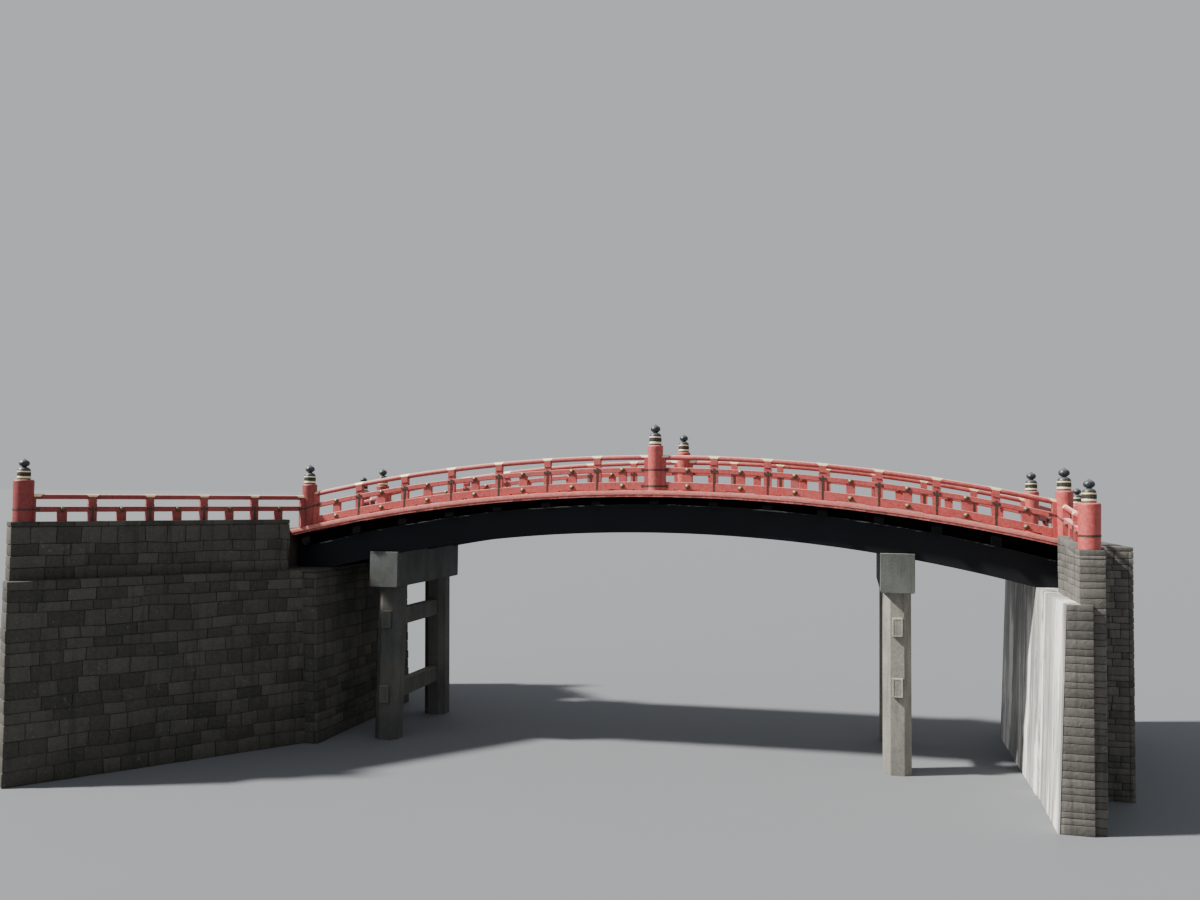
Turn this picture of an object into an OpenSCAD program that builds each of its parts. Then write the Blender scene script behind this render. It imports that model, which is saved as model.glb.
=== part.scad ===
// Arched bridge on two stone trestles, with flared approach railings on stone walls.
// X runs along the bridge, Y across it and Z up from the lowest foot.
// Downstream is the -Y side, and left and right are seen from there.

/* [Deck] */
// Distance between the centres of the two end posts of a side
span = 28000; // [26000:100:29000]
// Rise of the walking surface between the end posts
rise = 1542; // [1200:1:1800]
// Height of the deck's underside at the crown
crown_height = 9633; // [9000:1:10500]
// Distance between the middle planes of the two railings
rail_spacing = 6700; // [6000:10:7400]
// Deck's edge beyond the railing's middle plane
deck_overhang = 310; // [280:5:400]
// Deck's end beyond the end posts
deck_end = 650; // [560:10:750]
// Thickness of the deck planks
deck_thickness = 230; // [180:5:280]

/* [Girders and cross beams] */
// Depth of a girder
girder_depth = 1050; // [850:10:1200]
// Thickness of a girder
girder_width = 440; // [300:10:600]
// Outer girder's outer face inside the railing's middle plane
girder_setback = 250; // [150:10:400]
// Depth of a cross beam at the crown
cross_beam_depth = 280; // [250:5:380]
// Depth of a cross beam at the end posts
cross_beam_end_depth = 530; // [450:5:650]
// Width of a cross beam
cross_beam_width = 350; // [280:5:450]
// Cross beam's end inside the deck's edge
cross_beam_inset = 80; // [40:5:150]
// Thickness of the boards that close the spaces over an outer girder
closing_board_thickness = 45; // [25:5:80]
// Closing board's face inside the outer girder's face
closing_board_setback = 110; // [60:5:160]

/* [Bridge railing] */
// Bays between two posts
bays = 7; // [5:1:8]
// Middle of the strut beside a post, from the post's centre
post_strut_offset = 252; // [235:1:300]
// Height of the bottom rail
bottom_rail_height = 320; // [260:5:380]
// Height of the opening between bottom rail and middle rail
window_height = 345; // [280:5:420]
// Height of the middle rail
mid_rail_height = 185; // [150:5:220]
// Height of the opening between middle rail and top rail
upper_gap = 275; // [230:5:350]
// Diameter of the round top rail
top_rail_d = 180; // [150:5:200]
// Thickness of the bottom and middle rails
rail_thickness = 200; // [170:5:240]
// Width of a main strut
strut_width = 280; // [240:5:320]
// Thickness of a main strut
strut_thickness = 180; // [140:5:200]
// Thickness of the block that carries the top rail, and of a strut beside a post
head_thickness = 232; // [226:1:260]
// Width of the block that carries the top rail
head_width = 250; // [220:5:270]
// Height of the foot block on the middle rail
foot_block_height = 115; // [90:5:140]
// Height of the narrow neck above the foot block
neck_height = 18; // [12:1:30]
// Width of the narrow neck
neck_width = 225; // [180:5:240]
// Width of a short mid-bay strut
short_strut_width = 310; // [250:5:360]
// Thickness of a short mid-bay strut
short_strut_thickness = 130; // [100:5:160]
// Length of the drain slit under the bottom rail
slit_length = 1000; // [700:10:1200]
// Height of the drain slit
slit_height = 40; // [25:1:60]

/* [Posts and caps] */
// Diameter of a bridge post at its foot
post_base_d = 500; // [440:5:520]
// Diameter of a bridge post below its shoulder
post_top_d = 580; // [500:5:600]
// Bridge post's top above the top rail's top
post_above_rail = 361; // [280:1:450]
// Radius of the rounded shoulder on a post
shoulder_r = 65; // [40:1:80]
// Diameter of an approach post at its foot
wing_post_base_d = 620; // [560:5:660]
// Diameter of an approach post below its shoulder
wing_post_top_d = 650; // [580:5:690]
// Approach post's top above its top rail's top
wing_post_above_rail = 480; // [380:1:560]
// Height of a bridge post's metal cap
cap_height = 785; // [700:5:900]
// Diameter of a cap's rings
cap_d = 460; // [400:5:480]
// Size of an approach post's cap as a share of a bridge post's
wing_cap_scale = 0.92; // [0.8:0.01:1.1]

/* [Approach railings] */
// Bays of the left downstream approach
left_downstream_bays = 5; // [3:1:6]
// Bays of the left upstream approach
left_upstream_bays = 2; // [2:1:4]
// Bays of the right downstream approach
right_downstream_bays = 2; // [2:1:4]
// Bays of the right upstream approach
right_upstream_bays = 2; // [2:1:4]
// Angle by which the left downstream approach turns out from the bridge
left_downstream_flare = 53; // [45:0.5:70]
// Angle by which the left upstream approach turns out from the bridge
left_upstream_flare = 52.5; // [45:0.5:70]
// Angle by which the right downstream approach turns out from the bridge
right_downstream_flare = 91.5; // [75:0.5:95]
// Angle by which the right upstream approach turns out from the bridge
right_upstream_flare = 57; // [45:0.5:70]
// Fall of the left downstream approach along its length
left_downstream_fall = 0; // [0:5:400]
// Fall of the left upstream approach along its length
left_upstream_fall = 295; // [0:5:500]
// Fall of the right downstream approach along its length
right_downstream_fall = 405; // [0:5:500]
// Fall of the right upstream approach along its length
right_upstream_fall = 560; // [0:5:600]
// Approach rail's top below the bridge rail's top at the post between them
wing_rail_step = 90; // [40:5:160]
// Height of the opening between the wall and the approach's middle rail
wing_window_height = 320; // [260:5:380]
// Height of the opening between the approach's middle rail and top rail
wing_upper_gap = 250; // [230:5:320]
// Start of an approach's first bay, from the bridge post's centre
wing_bay_offset = 320; // [290:1:360]
// Middle of the strut beside an approach post, from the post's centre
wing_strut_offset = 235; // [220:1:300]

/* [Stone trestles] */
// Left trestle's middle from the left end posts
left_pier_inset = 3200; // [2600:50:4200]
// Right trestle's middle from the right end posts
right_pier_inset = 5400; // [4000:50:6400]
// Width of a trestle's cap beam along the bridge
cap_beam_width = 1170; // [1000:10:1300]
// Height of a cap beam below the girder's higher edge
cap_beam_height = 1350; // [1100:10:1500]
// Cap beam's end beyond the outer girder's face
cap_beam_overhang = 150; // [80:5:250]
// Cap beam's top above the girder's higher edge
seat_lip = 30; // [10:1:60]
// Chamfer on the lower edges of a cap beam
cap_beam_chamfer = 45; // [20:1:80]
// Width of a column across its flats
column_width = 970; // [850:5:1050]
// Width of a column's front face
column_face = 470; // [380:5:560]
// Distance between the columns' centres under the cap beam
column_spacing = 4560; // [3800:10:4900]
// Angle by which a column leans outwards to its foot
column_batter = 2; // [0:0.1:3]
// Width of a tie beam
tie_width = 370; // [300:5:420]
// Height of a tie beam
tie_height = 660; // [500:5:750]
// Tie beam's end beyond the column's face
tie_projection = 150; // [80:5:250]
// Height of the middle of the left trestle's upper tie beam
left_upper_tie = 4690; // [4300:10:5200]
// Height of the middle of the left trestle's lower tie beam
left_lower_tie = 1790; // [1200:10:2600]
// Height of the middle of the right trestle's upper tie beam
right_upper_tie = 5140; // [4700:10:5500]
// Height of the middle of the right trestle's lower tie beam
right_lower_tie = 3040; // [1800:10:3600]

/* [Abutments and walls] */
// Abutment's front face before the end posts
abutment_front = 860; // [500:10:1000]
// Abutment's back face behind the end posts
abutment_back = 1900; // [1500:10:2300]
// Abutment's side beyond the deck's edge
abutment_side = 640; // [500:10:640]
// Thickness of the walls under the approach railings
wall_thickness = 720; // [690:5:800]
// Wall's end beyond the approach post's centre
wall_end = 420; // [360:5:500]
// Lean of the river faces of the abutments and of the walls' feet
wall_batter = 2; // [0:0.1:3]
// Ledge of a wall's wider foot on its river side
foot_ledge = 420; // [300:10:500]
// Run of a wall's foot past the end of the wall
foot_end = 150; // [80:10:250]
// Height of a wall's foot
foot_top = 6650; // [6000:10:6900]

/* [Fits] */
// Clearance between pieces that seat on each other
seat_gap = 0.3; // [0.1:0.1:0.5]
// Overrun of a cut past the face that it opens
cut_overrun = 10; // [5:1:20]

/* [Hidden] */

// Colours of the finishes
vermilion = [0.70, 0.22, 0.18];
tarred = [0.07, 0.07, 0.08];
bronze = [0.24, 0.26, 0.28];
grey_stone = [0.48, 0.47, 0.44];
wall_stone = [0.52, 0.47, 0.43];

// Facets of the long arcs and of the round pieces
arc_fn = 256;
round_fn = 96;

// Sides and approaches by name
left = -1;
right = 1;
downstream = -1;
upstream = 1;
left_downstream = 0;
left_upstream = 1;
right_downstream = 2;
right_upstream = 3;

// Plan of the bridge
half_span = span / 2;
rail_y = rail_spacing / 2;
deck_y = rail_y + deck_overhang;
deck_x = half_span + deck_end;
girder_y = rail_y - girder_setback - girder_width / 2;
closing_board_y = rail_y - girder_setback - closing_board_setback - closing_board_thickness / 2;

// A curve is [radius, height of its centre], or [0, height, slope] for a straight line
arc_r = (pow(half_span, 2) + pow(rise, 2)) / (2 * rise);
deck_c = crown_height + deck_thickness - arc_r;
deck_top = [arc_r, deck_c];
deck_under = [arc_r - deck_thickness, deck_c];
function curve_z(x, curve) = curve[0] > 0
    ? curve[1] + sqrt(pow(curve[0], 2) - pow(x, 2))
    : curve[1] + curve[2] * x;

// Girders, whose arc is a little steeper than the deck's
girder_crown_z = crown_height - cross_beam_depth;
girder_end_z = curve_z(half_span, deck_under) - cross_beam_end_depth;
girder_rise = girder_crown_z - girder_end_z;
girder_r = (pow(half_span, 2) + pow(girder_rise, 2)) / (2 * girder_rise);
girder_top = [girder_r, girder_crown_z - girder_r];
girder_under = [girder_r - girder_depth, girder_crown_z - girder_r];

// Railing curves, from the deck up
bottom_rail_top = [arc_r + bottom_rail_height, deck_c];
mid_c = deck_c + bottom_rail_height + window_height + mid_rail_height;
mid_rail_top = [arc_r, mid_c];
mid_rail_under = [arc_r - mid_rail_height, mid_c];
top_c = mid_c + upper_gap + top_rail_d;
top_rail_top = [arc_r, top_c];
top_rail_middle = [arc_r - top_rail_d / 2, top_c];

// Places along the railing
bay = (half_span - 2 * post_strut_offset) / bays;
strut_xs = [for (i = [1 : bays - 1]) post_strut_offset + i * bay];
mid_bay_xs = [for (i = [0 : bays - 1]) post_strut_offset + (i + 0.5) * bay];
beam_xs = concat([0], strut_xs, [half_span]);
rail_start = post_strut_offset + strut_width / 2 + seat_gap;
rail_stop = half_span - rail_start;
short_run = 150;
rail_breaks = [rail_start - short_run, rail_start + short_run, rail_stop - short_run, rail_stop + short_run];
top_start = post_base_d / 2;
top_breaks = [top_start - short_run, top_start + short_run,
    half_span - top_start - short_run, half_span - top_start + short_run];

// Approaches: side along X, side along Y, flare, bays, fall
wings = [
    [left, downstream, left_downstream_flare, left_downstream_bays, left_downstream_fall],
    [left, upstream, left_upstream_flare, left_upstream_bays, left_upstream_fall],
    [right, downstream, right_downstream_flare, right_downstream_bays, right_downstream_fall],
    [right, upstream, right_upstream_flare, right_upstream_bays, right_upstream_fall]
];
function wing_turn(w) = atan2(w[1] * sin(w[2]), w[0] * cos(w[2]));
function wing_length(w) = wing_bay_offset + w[3] * bay + wing_strut_offset;
function wing_slope(w) = -w[4] / wing_length(w);
function wing_point(w, along, across) = [
    w[0] * half_span + along * cos(wing_turn(w)) - across * sin(wing_turn(w)),
    w[1] * rail_y + along * sin(wing_turn(w)) + across * cos(wing_turn(w))
];
wing_rail_z = curve_z(half_span, top_rail_top) - wing_rail_step;
wing_mid_z = wing_rail_z - top_rail_d - wing_upper_gap;
wing_curb_z = wing_mid_z - mid_rail_height - wing_window_height;
function wing_line(w, z) = [0, z, wing_slope(w)];
function wing_ledge_z(w) = curve_z(wing_length(w) - wall_end, wing_line(w, wing_curb_z));
function wing_post_z(w) = wing_rail_z - w[4] + wing_post_above_rail;

// Trestles: middle along the bridge, upper tie, lower tie
piers = [
    [left_pier_inset - half_span, left_upper_tie, left_lower_tie],
    [half_span - right_pier_inset, right_upper_tie, right_lower_tie]
];
cap_beam_y = girder_y + girder_width / 2 + cap_beam_overhang;
function cap_beam_seat(p) = curve_z(abs(p[0]) - cap_beam_width / 2, girder_under);
function cap_beam_under(p) = cap_beam_seat(p) - cap_beam_height;
function column_y(p, z) = column_spacing / 2 + (cap_beam_under(p) - z) * tan(column_batter);

// Abutments and walls
abutment_y = deck_y + abutment_side;
road_z = curve_z(deck_x, deck_top);
girder_tip_x = deck_x * (girder_r - girder_depth) / girder_r;
wall_start = (abutment_y - rail_y) - cut_overrun;
foot_start = 240;
foot_y = wall_thickness / 2 + foot_ledge;
foot_base_y = foot_y + foot_top * tan(wall_batter);
function river_side(w) = w[0] * w[1];

// The outline box is centred on the origin
wall_corners = [for (w = wings) for (y = [-wall_thickness / 2, wall_thickness / 2])
    wing_point(w, wing_length(w) + wall_end, y)];
foot_corners = [for (w = wings) for (y = [0, foot_base_y])
    wing_point(w, wing_length(w) + wall_end + foot_end, river_side(w) * y)];
all_corners = concat(wall_corners, foot_corners);
wall_xs = [for (p = all_corners) p[0]];
wall_ys = [for (p = all_corners) p[1]];
middle = [(min(wall_xs) + max(wall_xs)) / 2, (min(wall_ys) + max(wall_ys)) / 2];

// Solid ring sectors about a line across the bridge, between the given places along it
module arc_run(r_in, r_out, c, width, breaks) {
    for (i = [0 : len(breaks) - 2]) {
        from = asin(breaks[i] / r_out);
        to = asin(breaks[i + 1] / r_out);
        translate([0, 0, c])
            rotate([90, 0, 0])
                rotate_extrude(angle = to - from, start = 90 - to, $fn = arc_fn)
                    translate([r_in, -width / 2])
                        square([r_out - r_in, width]);
    }
}

// A round rod bent to an arc
module arc_rod(curve, d, breaks) {
    for (i = [0 : len(breaks) - 2]) {
        from = asin(breaks[i] / curve[0]);
        to = asin(breaks[i + 1] / curve[0]);
        translate([0, 0, curve[1]])
            rotate([90, 0, 0])
                rotate_extrude(angle = to - from, start = 90 - to, $fn = arc_fn)
                    translate([curve[0], 0])
                        circle(d = d, $fn = round_fn);
    }
}

// The same piece on both halves of the bridge
module both_halves() {
    for (half = [0, 1])
        mirror([half, 0, 0])
            children();
}

// A profile in the plane of a railing, given its thickness
module upright(thickness) {
    rotate([90, 0, 0])
        linear_extrude(thickness, center = true)
            children();
}

// Outline with plumb sides between two curves, each with an offset upwards
module plumb(x, width, foot, foot_dz, head, head_dz) {
    x0 = x - width / 2;
    x1 = x + width / 2;
    polygon([
        [x0, curve_z(x0, foot) + foot_dz],
        [x1, curve_z(x1, foot) + foot_dz],
        [x1, curve_z(x1, head) + head_dz],
        [x0, curve_z(x0, head) + head_dz]
    ]);
}

// Foot block and neck on the middle rail
module strut_foot(x, mid_top) {
    plumb(x, strut_width, mid_top, seat_gap, mid_top, foot_block_height);
    plumb(x, neck_width, mid_top, seat_gap, mid_top, foot_block_height + neck_height);
}

// Block under the top rail, up to the rail's middle
module strut_head(x, mid_top, gap) {
    plumb(x, head_width, mid_top, foot_block_height + neck_height, mid_top, gap + top_rail_d / 2);
}

// Everything below the plane that touches the deck's surface at a place along it
module below_deck(x) {
    reach = 3000;
    translate([x, 0, curve_z(x, deck_top)])
        rotate([0, asin(x / arc_r), 0])
            translate([-reach / 2, -3 * reach, seat_gap - reach])
                cube([reach, 6 * reach, reach]);
}

// Round post with a rounded shoulder
module post_shape(base_d, top_d, height, grow = 0) {
    r = top_d / 2 + grow;
    rotate_extrude($fn = round_fn)
        polygon(concat(
            [[0, 0], [base_d / 2 + grow, 0]],
            [for (a = [0 : 15 : 90]) [
                r - shoulder_r + shoulder_r * cos(a),
                height - shoulder_r + shoulder_r * sin(a)]],
            [[0, height]]
        ));
}

// Bridge post at x, reaching down past the deck's surface
post_bury = 200;
module bridge_post_shape(x, grow = 0) {
    foot = curve_z(x, deck_top) - post_bury;
    translate([x, 0, foot])
        post_shape(post_base_d, post_top_d, post_top_z(x) - foot, grow);
}
function post_top_z(x) = curve_z(x, top_rail_top) + post_above_rail;

// Approach post on the wall's ledge; the grown one cuts its neighbours down past their feet
module wing_post_shape(w, grow = 0) {
    foot = wing_ledge_z(w) + seat_gap - cut_overrun * grow;
    translate([wing_length(w), 0, foot])
        post_shape(wing_post_base_d, wing_post_top_d, wing_post_z(w) - foot, grow);
}

// Puts children on one of the two railings' middle planes
module on_side(side) {
    translate([0, side * rail_y, 0])
        children();
}

// Puts children in an approach's own frame: X along it from the bridge's end post
module on_wing(w) {
    translate([w[0] * half_span, w[1] * rail_y, 0])
        rotate([0, 0, wing_turn(w)])
            children();
}

// Puts the whole part over the middle of its outline
module placed() {
    translate([-middle[0], -middle[1], 0])
        children();
}

module girder(y) {
    color(tarred) placed()
        translate([0, y, 0])
            arc_run(girder_under[0], girder_top[0] - seat_gap, girder_top[1], girder_width, [-deck_x, 0, deck_x]);
}

// Cross beams, and the boards that close the spaces between them over the outer girders
module cross_beams() {
    color(tarred) placed() {
        cross_beam(0);
        both_halves()
            for (x = beam_xs)
                if (x > 0)
                    cross_beam(x);
        for (side = [downstream, upstream])
            translate([0, side * closing_board_y, 0])
                both_halves()
                    closing_boards();
    }
}

module cross_beam(x) {
    upright(2 * (deck_y - cross_beam_inset))
        plumb(x, cross_beam_width, girder_top, 0, deck_under, -seat_gap);
}

// Boards on one half of a girder, from beam to beam and from the last beam to the deck's end
module closing_boards() {
    clear = cross_beam_width / 2 + seat_gap;
    for (i = [1 : len(beam_xs) - 1])
        closing_board(beam_xs[i - 1] + clear, beam_xs[i] - clear);
    closing_board(half_span + clear, deck_x - closing_board_setback);
}

// Board whose edges follow the girder's top and the deck's underside
module closing_board(x0, x1) {
    steps = 6;
    xs = [for (i = [0 : steps]) x0 + (x1 - x0) * i / steps];
    upright(closing_board_thickness)
        polygon(concat(
            [for (x = xs) [x, curve_z(x, girder_top)]],
            [for (i = [steps : -1 : 0]) [xs[i], curve_z(xs[i], deck_under) - seat_gap]]
        ));
}

module deck() {
    color(vermilion) placed()
        arc_run(deck_under[0], deck_top[0], deck_c, 2 * deck_y, [-deck_x, 0, deck_x]);
}

// Keeps the stretch of a rail between the struts beside the posts
module between_post_struts() {
    intersection() {
        children();
        translate([rail_start, -rail_thickness, 0])
            cube([rail_stop - rail_start, 2 * rail_thickness, 2 * crown_height]);
    }
}

module bottom_rail(side) {
    color(vermilion) placed() on_side(side)
        both_halves()
            difference() {
                between_post_struts()
                    arc_run(arc_r + seat_gap, bottom_rail_top[0], deck_c, rail_thickness, rail_breaks);
                for (x = mid_bay_xs)
                    arc_run(arc_r - slit_height, arc_r + slit_height, deck_c, 2 * rail_thickness,
                        [x - slit_length / 2, x + slit_length / 2]);
            }
}

module mid_rail(side) {
    color(vermilion) placed() on_side(side)
        both_halves()
            between_post_struts()
                arc_run(mid_rail_under[0], mid_rail_top[0], mid_c, rail_thickness, rail_breaks);
}

module top_rail(side) {
    color(vermilion) placed() on_side(side)
        both_halves()
            difference() {
                arc_rod(top_rail_middle, top_rail_d, top_breaks);
                bridge_post_shape(0, seat_gap);
                bridge_post_shape(half_span, seat_gap);
            }
}

// Space that the bent top rail takes over a strut
module top_rail_space(x) {
    arc_rod(top_rail_middle, top_rail_d + 2 * seat_gap, [x - strut_width, x + strut_width]);
}

module main_struts(side) {
    color(vermilion) placed() on_side(side)
        both_halves() {
            for (x = strut_xs)
                main_strut(x);
            post_strut(post_strut_offset, 0);
            post_strut(half_span - post_strut_offset, half_span);
        }
}

module main_strut(x) {
    upright(strut_thickness)
        plumb(x, strut_width, bottom_rail_top, seat_gap, mid_rail_under, -seat_gap);
    difference() {
        union() {
            upright(strut_thickness)
                strut_foot(x, mid_rail_top);
            upright(head_thickness)
                strut_head(x, mid_rail_top, upper_gap);
        }
        top_rail_space(x);
    }
}

// Strut from deck to top rail, against a post
module post_strut(x, post_x) {
    difference() {
        upright(head_thickness)
            plumb(x, strut_width, deck_top, seat_gap, top_rail_middle, 0);
        top_rail_space(x);
        bridge_post_shape(post_x, seat_gap);
    }
}

module short_struts(side) {
    color(vermilion) placed() on_side(side)
        both_halves()
            upright(short_strut_thickness)
                for (x = mid_bay_xs)
                    plumb(x, short_strut_width, bottom_rail_top, seat_gap, mid_rail_under, -seat_gap);
}

module bridge_post(x, side) {
    color(vermilion) placed() on_side(side)
        difference() {
            bridge_post_shape(x);
            below_deck(x);
        }
}

module wing_post(w) {
    color(vermilion) placed() on_wing(w)
        wing_post_shape(w);
}

// Metal cap: a sleeve with two rings, a dome, a neck and an onion jewel that ends in a point
module cap(size) {
    ring_r = cap_d / 2;
    ring_step = 12;
    sleeve_r = ring_r - ring_step;
    dome_z = 0.414 * cap_height;
    neck_z = 0.58 * cap_height;
    neck_r = 0.325 * ring_r;
    jewel_z = 0.752 * cap_height;
    jewel_r = 0.79 * ring_r;
    jewel_low = 0.16 * cap_height;
    jewel_high = 0.19 * cap_height;
    turn_in = 50;
    tip_r = jewel_r * cos(turn_in);
    tip_z = jewel_z + jewel_high * sin(turn_in);
    lower_ring = [0.062, 0.155];
    upper_ring = [0.345, 0.405];
    scale(size)
        rotate_extrude($fn = round_fn)
            polygon(concat(
                [[0, 0], [sleeve_r, 0]],
                [for (ring = [lower_ring, upper_ring]) each [
                    [sleeve_r, ring[0] * cap_height],
                    [ring_r, ring[0] * cap_height + ring_step / 2],
                    [ring_r, ring[1] * cap_height - ring_step / 2],
                    [sleeve_r, ring[1] * cap_height]]],
                [for (a = [0 : 15 : 90]) [
                    neck_r + (sleeve_r - neck_r) * cos(a),
                    dome_z + (neck_z - dome_z) * sin(a)]],
                [for (a = [-65 : 13 : 0]) [
                    jewel_r * cos(a),
                    jewel_z + jewel_low * sin(a)]],
                [for (a = [10 : 10 : turn_in]) [
                    jewel_r * cos(a),
                    jewel_z + jewel_high * sin(a)]],
                [for (u = [0.25 : 0.25 : 1]) [
                    tip_r * pow(1 - u, 1.25),
                    tip_z + (cap_height - tip_z) * u]]
            ));
}

module caps(side, side_wings) {
    color(bronze) placed() {
        on_side(side)
            for (x = [-half_span, 0, half_span])
                translate([x, 0, post_top_z(abs(x)) + seat_gap])
                    cap(1);
        for (w = side_wings)
            on_wing(w)
                translate([wing_length(w), 0, wing_post_z(w) + seat_gap])
                    cap(wing_cap_scale);
    }
}

module wing_railing(w) {
    length = wing_length(w);
    stop = length - wing_strut_offset - strut_width / 2 - seat_gap;
    curb = wing_line(w, wing_curb_z);
    mid_under = wing_line(w, wing_mid_z - mid_rail_height);
    mid_top = wing_line(w, wing_mid_z);
    rail_middle = wing_line(w, wing_rail_z - top_rail_d / 2);
    color(vermilion) placed() {
        on_wing(w) {
            // Middle rail
            upright(rail_thickness)
                plumb((rail_start + stop) / 2, stop - rail_start, mid_under, 0, mid_top, 0);
            // Top rail
            difference() {
                wing_rod(w, top_rail_d, length);
                wing_post_space(w);
            }
            // Main struts
            for (i = [1 : w[3] - 1]) {
                x = wing_bay_offset + i * bay;
                upright(strut_thickness)
                    plumb(x, strut_width, curb, seat_gap, mid_under, -seat_gap);
                difference() {
                    union() {
                        upright(strut_thickness)
                            strut_foot(x, mid_top);
                        upright(head_thickness)
                            strut_head(x, mid_top, wing_upper_gap);
                    }
                    wing_rod(w, top_rail_d + 2 * seat_gap, length);
                }
            }
            // Short struts in the middle of the bays
            upright(short_strut_thickness)
                for (i = [0 : w[3] - 1])
                    plumb(wing_bay_offset + (i + 0.5) * bay, short_strut_width,
                        curb, seat_gap, mid_under, -seat_gap);
            // Strut beside the approach post
            difference() {
                upright(head_thickness)
                    plumb(length - wing_strut_offset, strut_width,
                        [0, wing_ledge_z(w), 0], seat_gap, rail_middle, 0);
                wing_rod(w, top_rail_d + 2 * seat_gap, length);
                wing_post_space(w);
            }
        }
        // Strut on the deck beside the bridge post
        strut_x = half_span + post_strut_offset * cos(w[2]);
        difference() {
            on_wing(w)
                difference() {
                    upright(head_thickness)
                        plumb(post_strut_offset, strut_width,
                            [0, road_z - post_bury, 0], 0, rail_middle, 0);
                    wing_rod(w, top_rail_d + 2 * seat_gap, length);
                    wing_post_space(w);
                }
            below_deck(w[0] * strut_x);
        }
    }
}

// Straight round rail of an approach, from post centre to post centre
module wing_rod(w, d, length) {
    translate([0, 0, wing_rail_z - top_rail_d / 2])
        rotate([0, 90 - atan(wing_slope(w)), 0])
            cylinder(d = d, h = length / cos(atan(wing_slope(w))), $fn = round_fn);
}

// Space that the posts at both ends of an approach take
module wing_post_space(w) {
    wing_post_shape(w, seat_gap);
    translate([0, 0, curve_z(half_span, deck_top) - post_bury])
        post_shape(post_base_d, post_top_d,
            post_top_z(half_span) - curve_z(half_span, deck_top) + post_bury, seat_gap);
}

module cap_beam(p) {
    x0 = -cap_beam_width / 2;
    x1 = cap_beam_width / 2;
    seat = cap_beam_seat(p);
    under = cap_beam_under(p);
    ch = cap_beam_chamfer;
    color(grey_stone) placed()
        difference() {
            translate([p[0], 0, 0])
                upright(2 * cap_beam_y)
                    polygon([
                        [x0 + ch, under], [x1 - ch, under], [x1, under + ch],
                        [x1, seat + seat_lip], [x0, seat + seat_lip], [x0, under + ch]
                    ]);
            for (y = [-girder_y, 0, girder_y])
                translate([0, y, 0])
                    upright(girder_width + 2 * seat_gap)
                        girder_seat(p[0] + x0, p[0] + x1);
        }
}

// Outline of the space above a straight seat under the girders
module girder_seat(x0, x1) {
    height = 2 * girder_depth;
    z0 = curve_z(x0, girder_under) - seat_gap;
    z1 = curve_z(x1, girder_under) - seat_gap;
    slope = (z1 - z0) / (x1 - x0);
    polygon([
        [x0 - cut_overrun, z0 - cut_overrun * slope], [x1 + cut_overrun, z1 + cut_overrun * slope],
        [x1 + cut_overrun, z1 + height], [x0 - cut_overrun, z0 + height]
    ]);
}

module pier_column(p, side) {
    top = cap_beam_under(p) - seat_gap;
    reach = 2 * top;
    half = column_width / 2;
    face = column_face / 2;
    color(grey_stone) placed()
        translate([p[0], 0, 0])
            difference() {
                intersection() {
                    translate([0, side * column_spacing / 2, cap_beam_under(p)])
                        rotate([side * column_batter, 0, 0])
                            translate([0, 0, -reach])
                                linear_extrude(2 * reach)
                                    polygon([
                                        [half, -face], [half, face], [face, half], [-face, half],
                                        [-half, face], [-half, -face], [-face, -half], [face, -half]
                                    ]);
                    translate([-column_width, -column_spacing * 2, 0])
                        cube([2 * column_width, column_spacing * 4, top]);
                }
                for (z = [p[1], p[2]])
                    tie_beam(p, z, seat_gap);
            }
}

// Tie beam through both columns, or the mortise for it when grown
module tie_beam(p, z, grow = 0) {
    reach = column_y(p, z) + column_width / 2 / cos(column_batter) + tie_projection + cut_overrun * grow;
    w = tie_width + 2 * grow;
    h = tie_height + 2 * grow;
    translate([-w / 2, -reach, z - h / 2])
        cube([w, 2 * reach, h]);
}

module pier_ties(p) {
    color(grey_stone) placed()
        translate([p[0], 0, 0])
            for (z = [p[1], p[2]])
                tie_beam(p, z);
}

module abutment(side) {
    front = half_span - abutment_front;
    back = half_span + abutment_back;
    pocket = deck_x + seat_gap;
    z0 = curve_z(front, girder_under) - seat_gap;
    z1 = curve_z(girder_tip_x, girder_under) - seat_gap;
    slope = (z1 - z0) / (girder_tip_x - front);
    foot = front - z0 * tan(wall_batter);
    color(wall_stone) placed()
        mirror([side < 0 ? 1 : 0, 0, 0])
            upright(2 * abutment_y)
                polygon([
                    [foot, 0], [back, 0], [back, road_z], [pocket, road_z],
                    [pocket, z0 + slope * (pocket - front)], [front, z0]
                ]);
}

module wing_wall(w) {
    end = wing_length(w) + wall_end;
    ledge = wing_length(w) - wall_end;
    curb = wing_line(w, wing_curb_z);
    color(wall_stone) placed()
        difference() {
            on_wing(w) {
                upright(wall_thickness)
                    polygon([
                        [wall_start, 0], [end, 0], [end, wing_ledge_z(w)], [ledge, wing_ledge_z(w)],
                        [wall_start, curve_z(wall_start, curb)]
                    ]);
                wall_foot(river_side(w), end + foot_end);
            }
            translate([w[0] * half_span - abutment_back - seat_gap, -abutment_y - seat_gap, -1])
                cube([2 * (abutment_back + seat_gap), 2 * (abutment_y + seat_gap), road_z + seat_gap + 1]);
        }
}

// Wider foot on a wall's river side, whose face leans back
module wall_foot(side, end) {
    mirror([0, side < 0 ? 1 : 0, 0])
        translate([foot_start, 0, 0])
            rotate([90, 0, 90])
                linear_extrude(end - foot_start)
                    polygon([[0, 0], [foot_base_y, 0], [foot_y, foot_top], [0, foot_top]]);
}

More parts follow.
